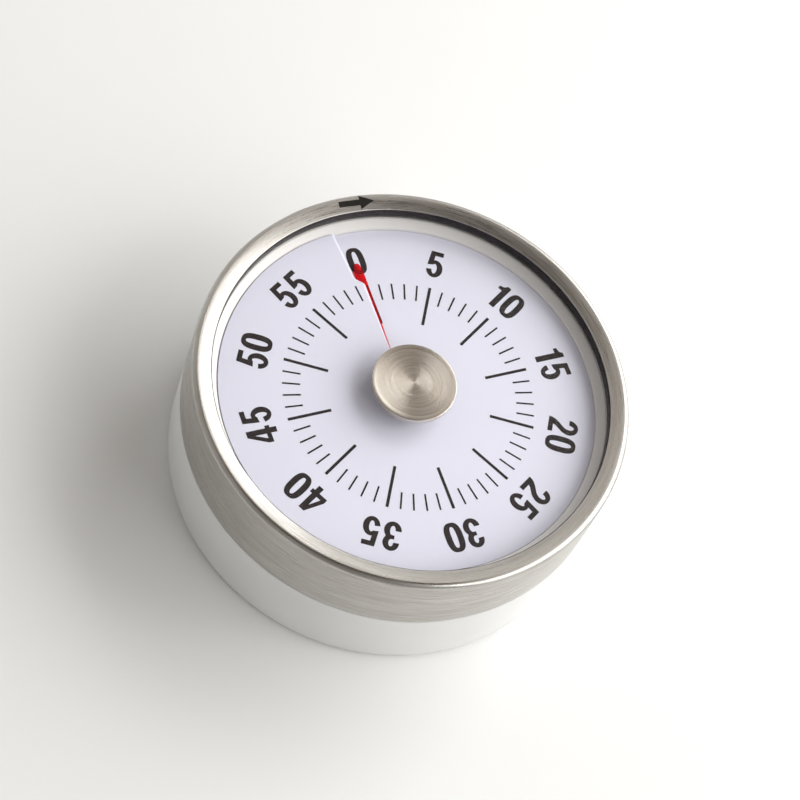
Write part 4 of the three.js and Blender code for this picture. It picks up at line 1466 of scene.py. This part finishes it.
@dataclass
class FilmAssembly(SubAssembly):
    """Red film that winds out of the dial's slit, with its pointer and hub."""

    inner: float = 4.9
    radius: float = 23.3
    pointer_radius: float = 27.3
    pointer_width: float = 1.95
    tip_share: float = 0.74
    side_share: float = 0.8
    lead: float = 0.75
    gap: float = 0.3
    thickness: float = 0.2
    dial_thickness: float = 0.3
    hub_bore: float = 1.8

    def build(self) -> None:
        """Builds the film and its hub."""
        dial = Extent.of("dial")
        low = dial.bottom + self.dial_thickness
        self.helix = Helix(low, dial.top - low)
        self.build_film()
        self.build_hub()

    def outer(self, turn: float) -> float:
        """Finds the film's outer radius.

        Args:
            turn: Clockwise angle, in degrees.

        Returns:
            The radius, in millimetres.
        """
        end = math.degrees(self.lead / self.radius)
        span = math.degrees(self.pointer_width / ((self.radius + self.pointer_radius) / 2))
        across = (turn - end + span) / span
        if across <= 0:
            return self.radius
        tip = 1 - self.tip_share
        reach = self.pointer_radius - self.radius
        if across < tip:
            return self.radius + reach * self.side_share * (across / tip) ** 0.5
        share = abs(2 * (across - tip) / self.tip_share - 1)
        level = self.side_share if across < tip + self.tip_share / 2 else 0.0
        return self.radius + reach * (level + (1 - level) * max(1 - share**3, 0.0) ** 0.5)

    def build_film(self) -> None:
        """Builds the film, one turn below the dial at rest."""
        end = math.degrees(self.lead / self.radius)
        span = math.degrees(self.pointer_width / ((self.radius + self.pointer_radius) / 2))
        start = end - span
        turns = [-360 + (360 + start) * i / 240 for i in range(241)]
        turns += [end - span * (0.5 + 0.5 * math.cos(math.pi * i / 32)) for i in range(1, 33)]
        mesh = bmesh.new()
        helical_into(
            mesh,
            turns,
            lambda turn: (self.inner, 7.0, 12.0, 17.0, 21.0, self.radius - 0.3, self.outer(turn)),
            self.helix.inner_slit,
            lambda turn: self.helix.height(turn) + self.gap,
            lambda turn: self.helix.height(turn) + self.gap + self.thickness,
        )
        self.fit(finish_mesh("red_film_sheet", mesh), Body.FILM, RED_FILM, Slot.RED_FILM, ["time_film"])

    def build_hub(self) -> None:
        """Builds the film's hub."""
        place = Extent.of("film_hub")
        outline = eased([
            (self.hub_bore, place.bottom, 0.1),
            (place.radius, place.bottom, 0.15),
            (place.radius, place.top, 0.15),
            (self.hub_bore, place.top, 0.1),
        ], 3)
        made = turned("hub_sleeve", outline, 96)
        self.fit(made, Body.FILM, HUB_WHITE, Slot.WHITE_PLASTIC, ["film_hub"])


# ---- movement -------------------------------------------------------------------------------------


@dataclass
class Movement(SubAssembly):
    """Clockwork, strike work and bell: the CAD nodes, softened and dressed."""

    edge: float = 0.06
    edge_angle: float = 40.0

    def build(self) -> None:
        """Gives each node that still shows its edges and its finish."""
        wanted = (
            (BRASS, ("main_wheel", "release_cam", "front_plate", "back_plate", "pillar")),
            (BRASS, ("second_wheel", "third_wheel", "escape_wheel", "balance_bar", "hammer_head")),
            (SPRING_STEEL, ("mainspring", "clutch_spring", "hammer_spring", "release_spring")),
            (BELL_METAL, ("bell",)),
        )
        for name, node in sorted(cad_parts.items()):
            if node.hide_render:
                continue
            finish = ARBOR_STEEL
            for candidate, stems in wanted:
                if name in stems or name.rsplit("_", 1)[0] in stems and name[-1].isdigit():
                    finish = candidate
            self.soften(node)
            node.data.materials.clear()
            node.data.materials.append(finish.material())
            self.pieces.append(node)

    def soften(self, node: bpy.types.Object) -> None:
        """Breaks a node's sharp edges.

        Args:
            node: The CAD node.
        """
        weld = node.modifiers.new("weld", "WELD")
        weld.merge_threshold = 1e-6
        bevel = node.modifiers.new("edge", "BEVEL")
        bevel.width = self.edge * MM
        bevel.segments = 2
        bevel.limit_method = "ANGLE"
        bevel.angle_limit = math.radians(self.edge_angle)


# ---- studio ---------------------------------------------------------------------------------------


@dataclass
class CameraStand:
    """The main camera, looking down on the timer from its lower left."""

    azimuth: float = -42.0
    elevation: float = 58.74
    roll: float = 25.31
    distance: float = 449.6
    target: tuple[float, float] = (8.49, 10.93)
    lens: float = 108.0

    def build(self) -> None:
        """Makes the camera and gives it to the scene."""
        a, e = math.radians(self.azimuth), math.radians(self.elevation)
        back = Vector((math.sin(a) * math.cos(e), -math.cos(a) * math.cos(e), math.sin(e)))
        right = (-back).cross(Vector((0, 0, 1))).normalized()
        up = right.cross(-back)
        tilt = math.radians(self.roll)
        side = right * math.cos(tilt) + up * math.sin(tilt)
        above = up * math.cos(tilt) - right * math.sin(tilt)
        data = bpy.data.cameras.new("camera")
        data.lens, data.sensor_width = self.lens, SENSOR_WIDTH
        data.clip_start, data.clip_end = 0.01, 20.0
        camera = bpy.data.objects.new("camera", data)
        bpy.context.scene.collection.objects.link(camera)
        turn = Matrix((side, above, back)).transposed().to_4x4()
        place = Vector((self.target[0] * MM, self.target[1] * MM, 0)) + back * self.distance * MM
        camera.matrix_world = Matrix.Translation(place) @ turn
        bpy.context.scene.camera = camera


@dataclass(frozen=True)
class SoftBox:
    """A rectangular studio light that looks at the timer."""

    name: str
    direction: Colour
    distance: float
    width: float
    height: float
    power: float
    colour: Colour = (1.0, 1.0, 1.0)

    def build(self) -> None:
        """Makes the light."""
        data = bpy.data.lights.new(self.name, "AREA")
        data.shape, data.size, data.size_y = "RECTANGLE", self.width, self.height
        data.energy, data.color = self.power, self.colour
        light = bpy.data.objects.new(self.name, data)
        bpy.context.scene.collection.objects.link(light)
        direction = Vector(self.direction).normalized()
        light.location = direction * self.distance
        light.rotation_mode = "QUATERNION"
        light.rotation_quaternion = direction.to_track_quat("Z", "Y")


@dataclass
class Studio:
    """Pale table, wide window light from the right and a soft room that is dark overhead."""

    heights: tuple[tuple[float, Colour], ...] = (
        (0.5, (0.62, 0.62, 0.62)),
        (0.8, (0.56, 0.55, 0.53)),
        (0.92, (0.52, 0.47, 0.42)),
        (0.965, (0.14, 0.11, 0.085)),
        (0.985, (0.05, 0.034, 0.022)),
    )
    across: tuple[float, float] = (0.55, 0.83)
    dim_share: float = 0.5
    bright_share: float = 1.2
    table_size: float = 4.0
    boxes: tuple[SoftBox, ...] = (
        SoftBox("window_light", (0.8, 0.06, 0.6), 1.0, 1.15, 0.82, 10.6, (1.0, 0.995, 0.985)),
        SoftBox("window_side", (0.5, -0.62, 0.6), 1.0, 0.8, 0.8, 5.2, (1.0, 0.995, 0.985)),
    )

    def build(self) -> None:
        """Builds the table, the lights and the room's light."""
        self.build_table()
        for box in self.boxes:
            box.build()
        self.build_room()
        view = bpy.context.scene.view_settings
        view.view_transform, view.look = "Standard", "None"

    def build_table(self) -> None:
        """Builds the table top."""
        mesh = bmesh.new()
        half = self.table_size / 2
        steps = 4
        places = [-half + self.table_size * i / steps for i in range(steps + 1)]
        grid = [[mesh.verts.new((x, y, 0)) for y in places] for x in places]
        for i in range(steps):
            for j in range(steps):
                mesh.faces.new((grid[i][j], grid[i + 1][j], grid[i + 1][j + 1], grid[i][j + 1]))
        table = finish_mesh("table_top", mesh)
        table.data.materials.append(WHITE_TABLE.material())

    def build_room(self) -> None:
        """Lights the scene from all round, brighter behind and dark and warm overhead."""
        world = bpy.data.worlds.new("room")
        bpy.context.scene.world = world
        world.use_nodes = True
        tree = world.node_tree
        tree.nodes.clear()
        output = tree.nodes.new("ShaderNodeOutputWorld")
        background = tree.nodes.new("ShaderNodeBackground")
        place = tree.nodes.new("ShaderNodeTexCoord")
        split = tree.nodes.new("ShaderNodeSeparateXYZ")
        facing = tree.nodes.new("ShaderNodeVectorMath")
        facing.operation = "DOT_PRODUCT"
        facing.inputs[1].default_value = (*self.across, 0)
        upright = tree.nodes.new("ShaderNodeMapRange")
        sideways = tree.nodes.new("ShaderNodeMapRange")
        ramp = tree.nodes.new("ShaderNodeValToRGB")
        for node, low, high in ((upright, 0.0, 1.0), (sideways, self.dim_share, self.bright_share)):
            node.inputs["From Min"].default_value = -1.0
            node.inputs["To Min"].default_value = low
            node.inputs["To Max"].default_value = high
        tree.links.new(place.outputs["Generated"], split.inputs[0])
        tree.links.new(split.outputs["Z"], upright.inputs["Value"])
        tree.links.new(place.outputs["Generated"], facing.inputs[0])
        tree.links.new(facing.outputs["Value"], sideways.inputs["Value"])
        tree.links.new(upright.outputs[0], ramp.inputs[0])
        stops = ramp.color_ramp.elements
        while len(stops) < len(self.heights):
            stops.new(0.5)
        for stop, (position, colour) in zip(stops, self.heights):
            stop.position = position
            stop.color = (*colour, 1)
        tree.links.new(ramp.outputs[0], background.inputs["Color"])
        tree.links.new(sideways.outputs[0], background.inputs["Strength"])
        tree.links.new(background.outputs[0], output.inputs["Surface"])


def main() -> None:
    """Builds the studio and the sub-assemblies in order, and reports each piece."""
    logging.basicConfig(level=logging.INFO, format="%(name)s: %(message)s")
    CameraStand().build()
    Studio().build()
    assemblies = (
        CaseAssembly(),
        RingAssembly(),
        KnobAssembly(),
        DialAssembly(),
        FilmAssembly(),
        Movement(),
    )
    for assembly in assemblies:
        assembly.build()
        for piece in assembly.pieces:
            log.info("%s: %s, %d faces", type(assembly).__name__, piece.name, len(piece.data.polygons))


if __name__ == "__main__":
    main()
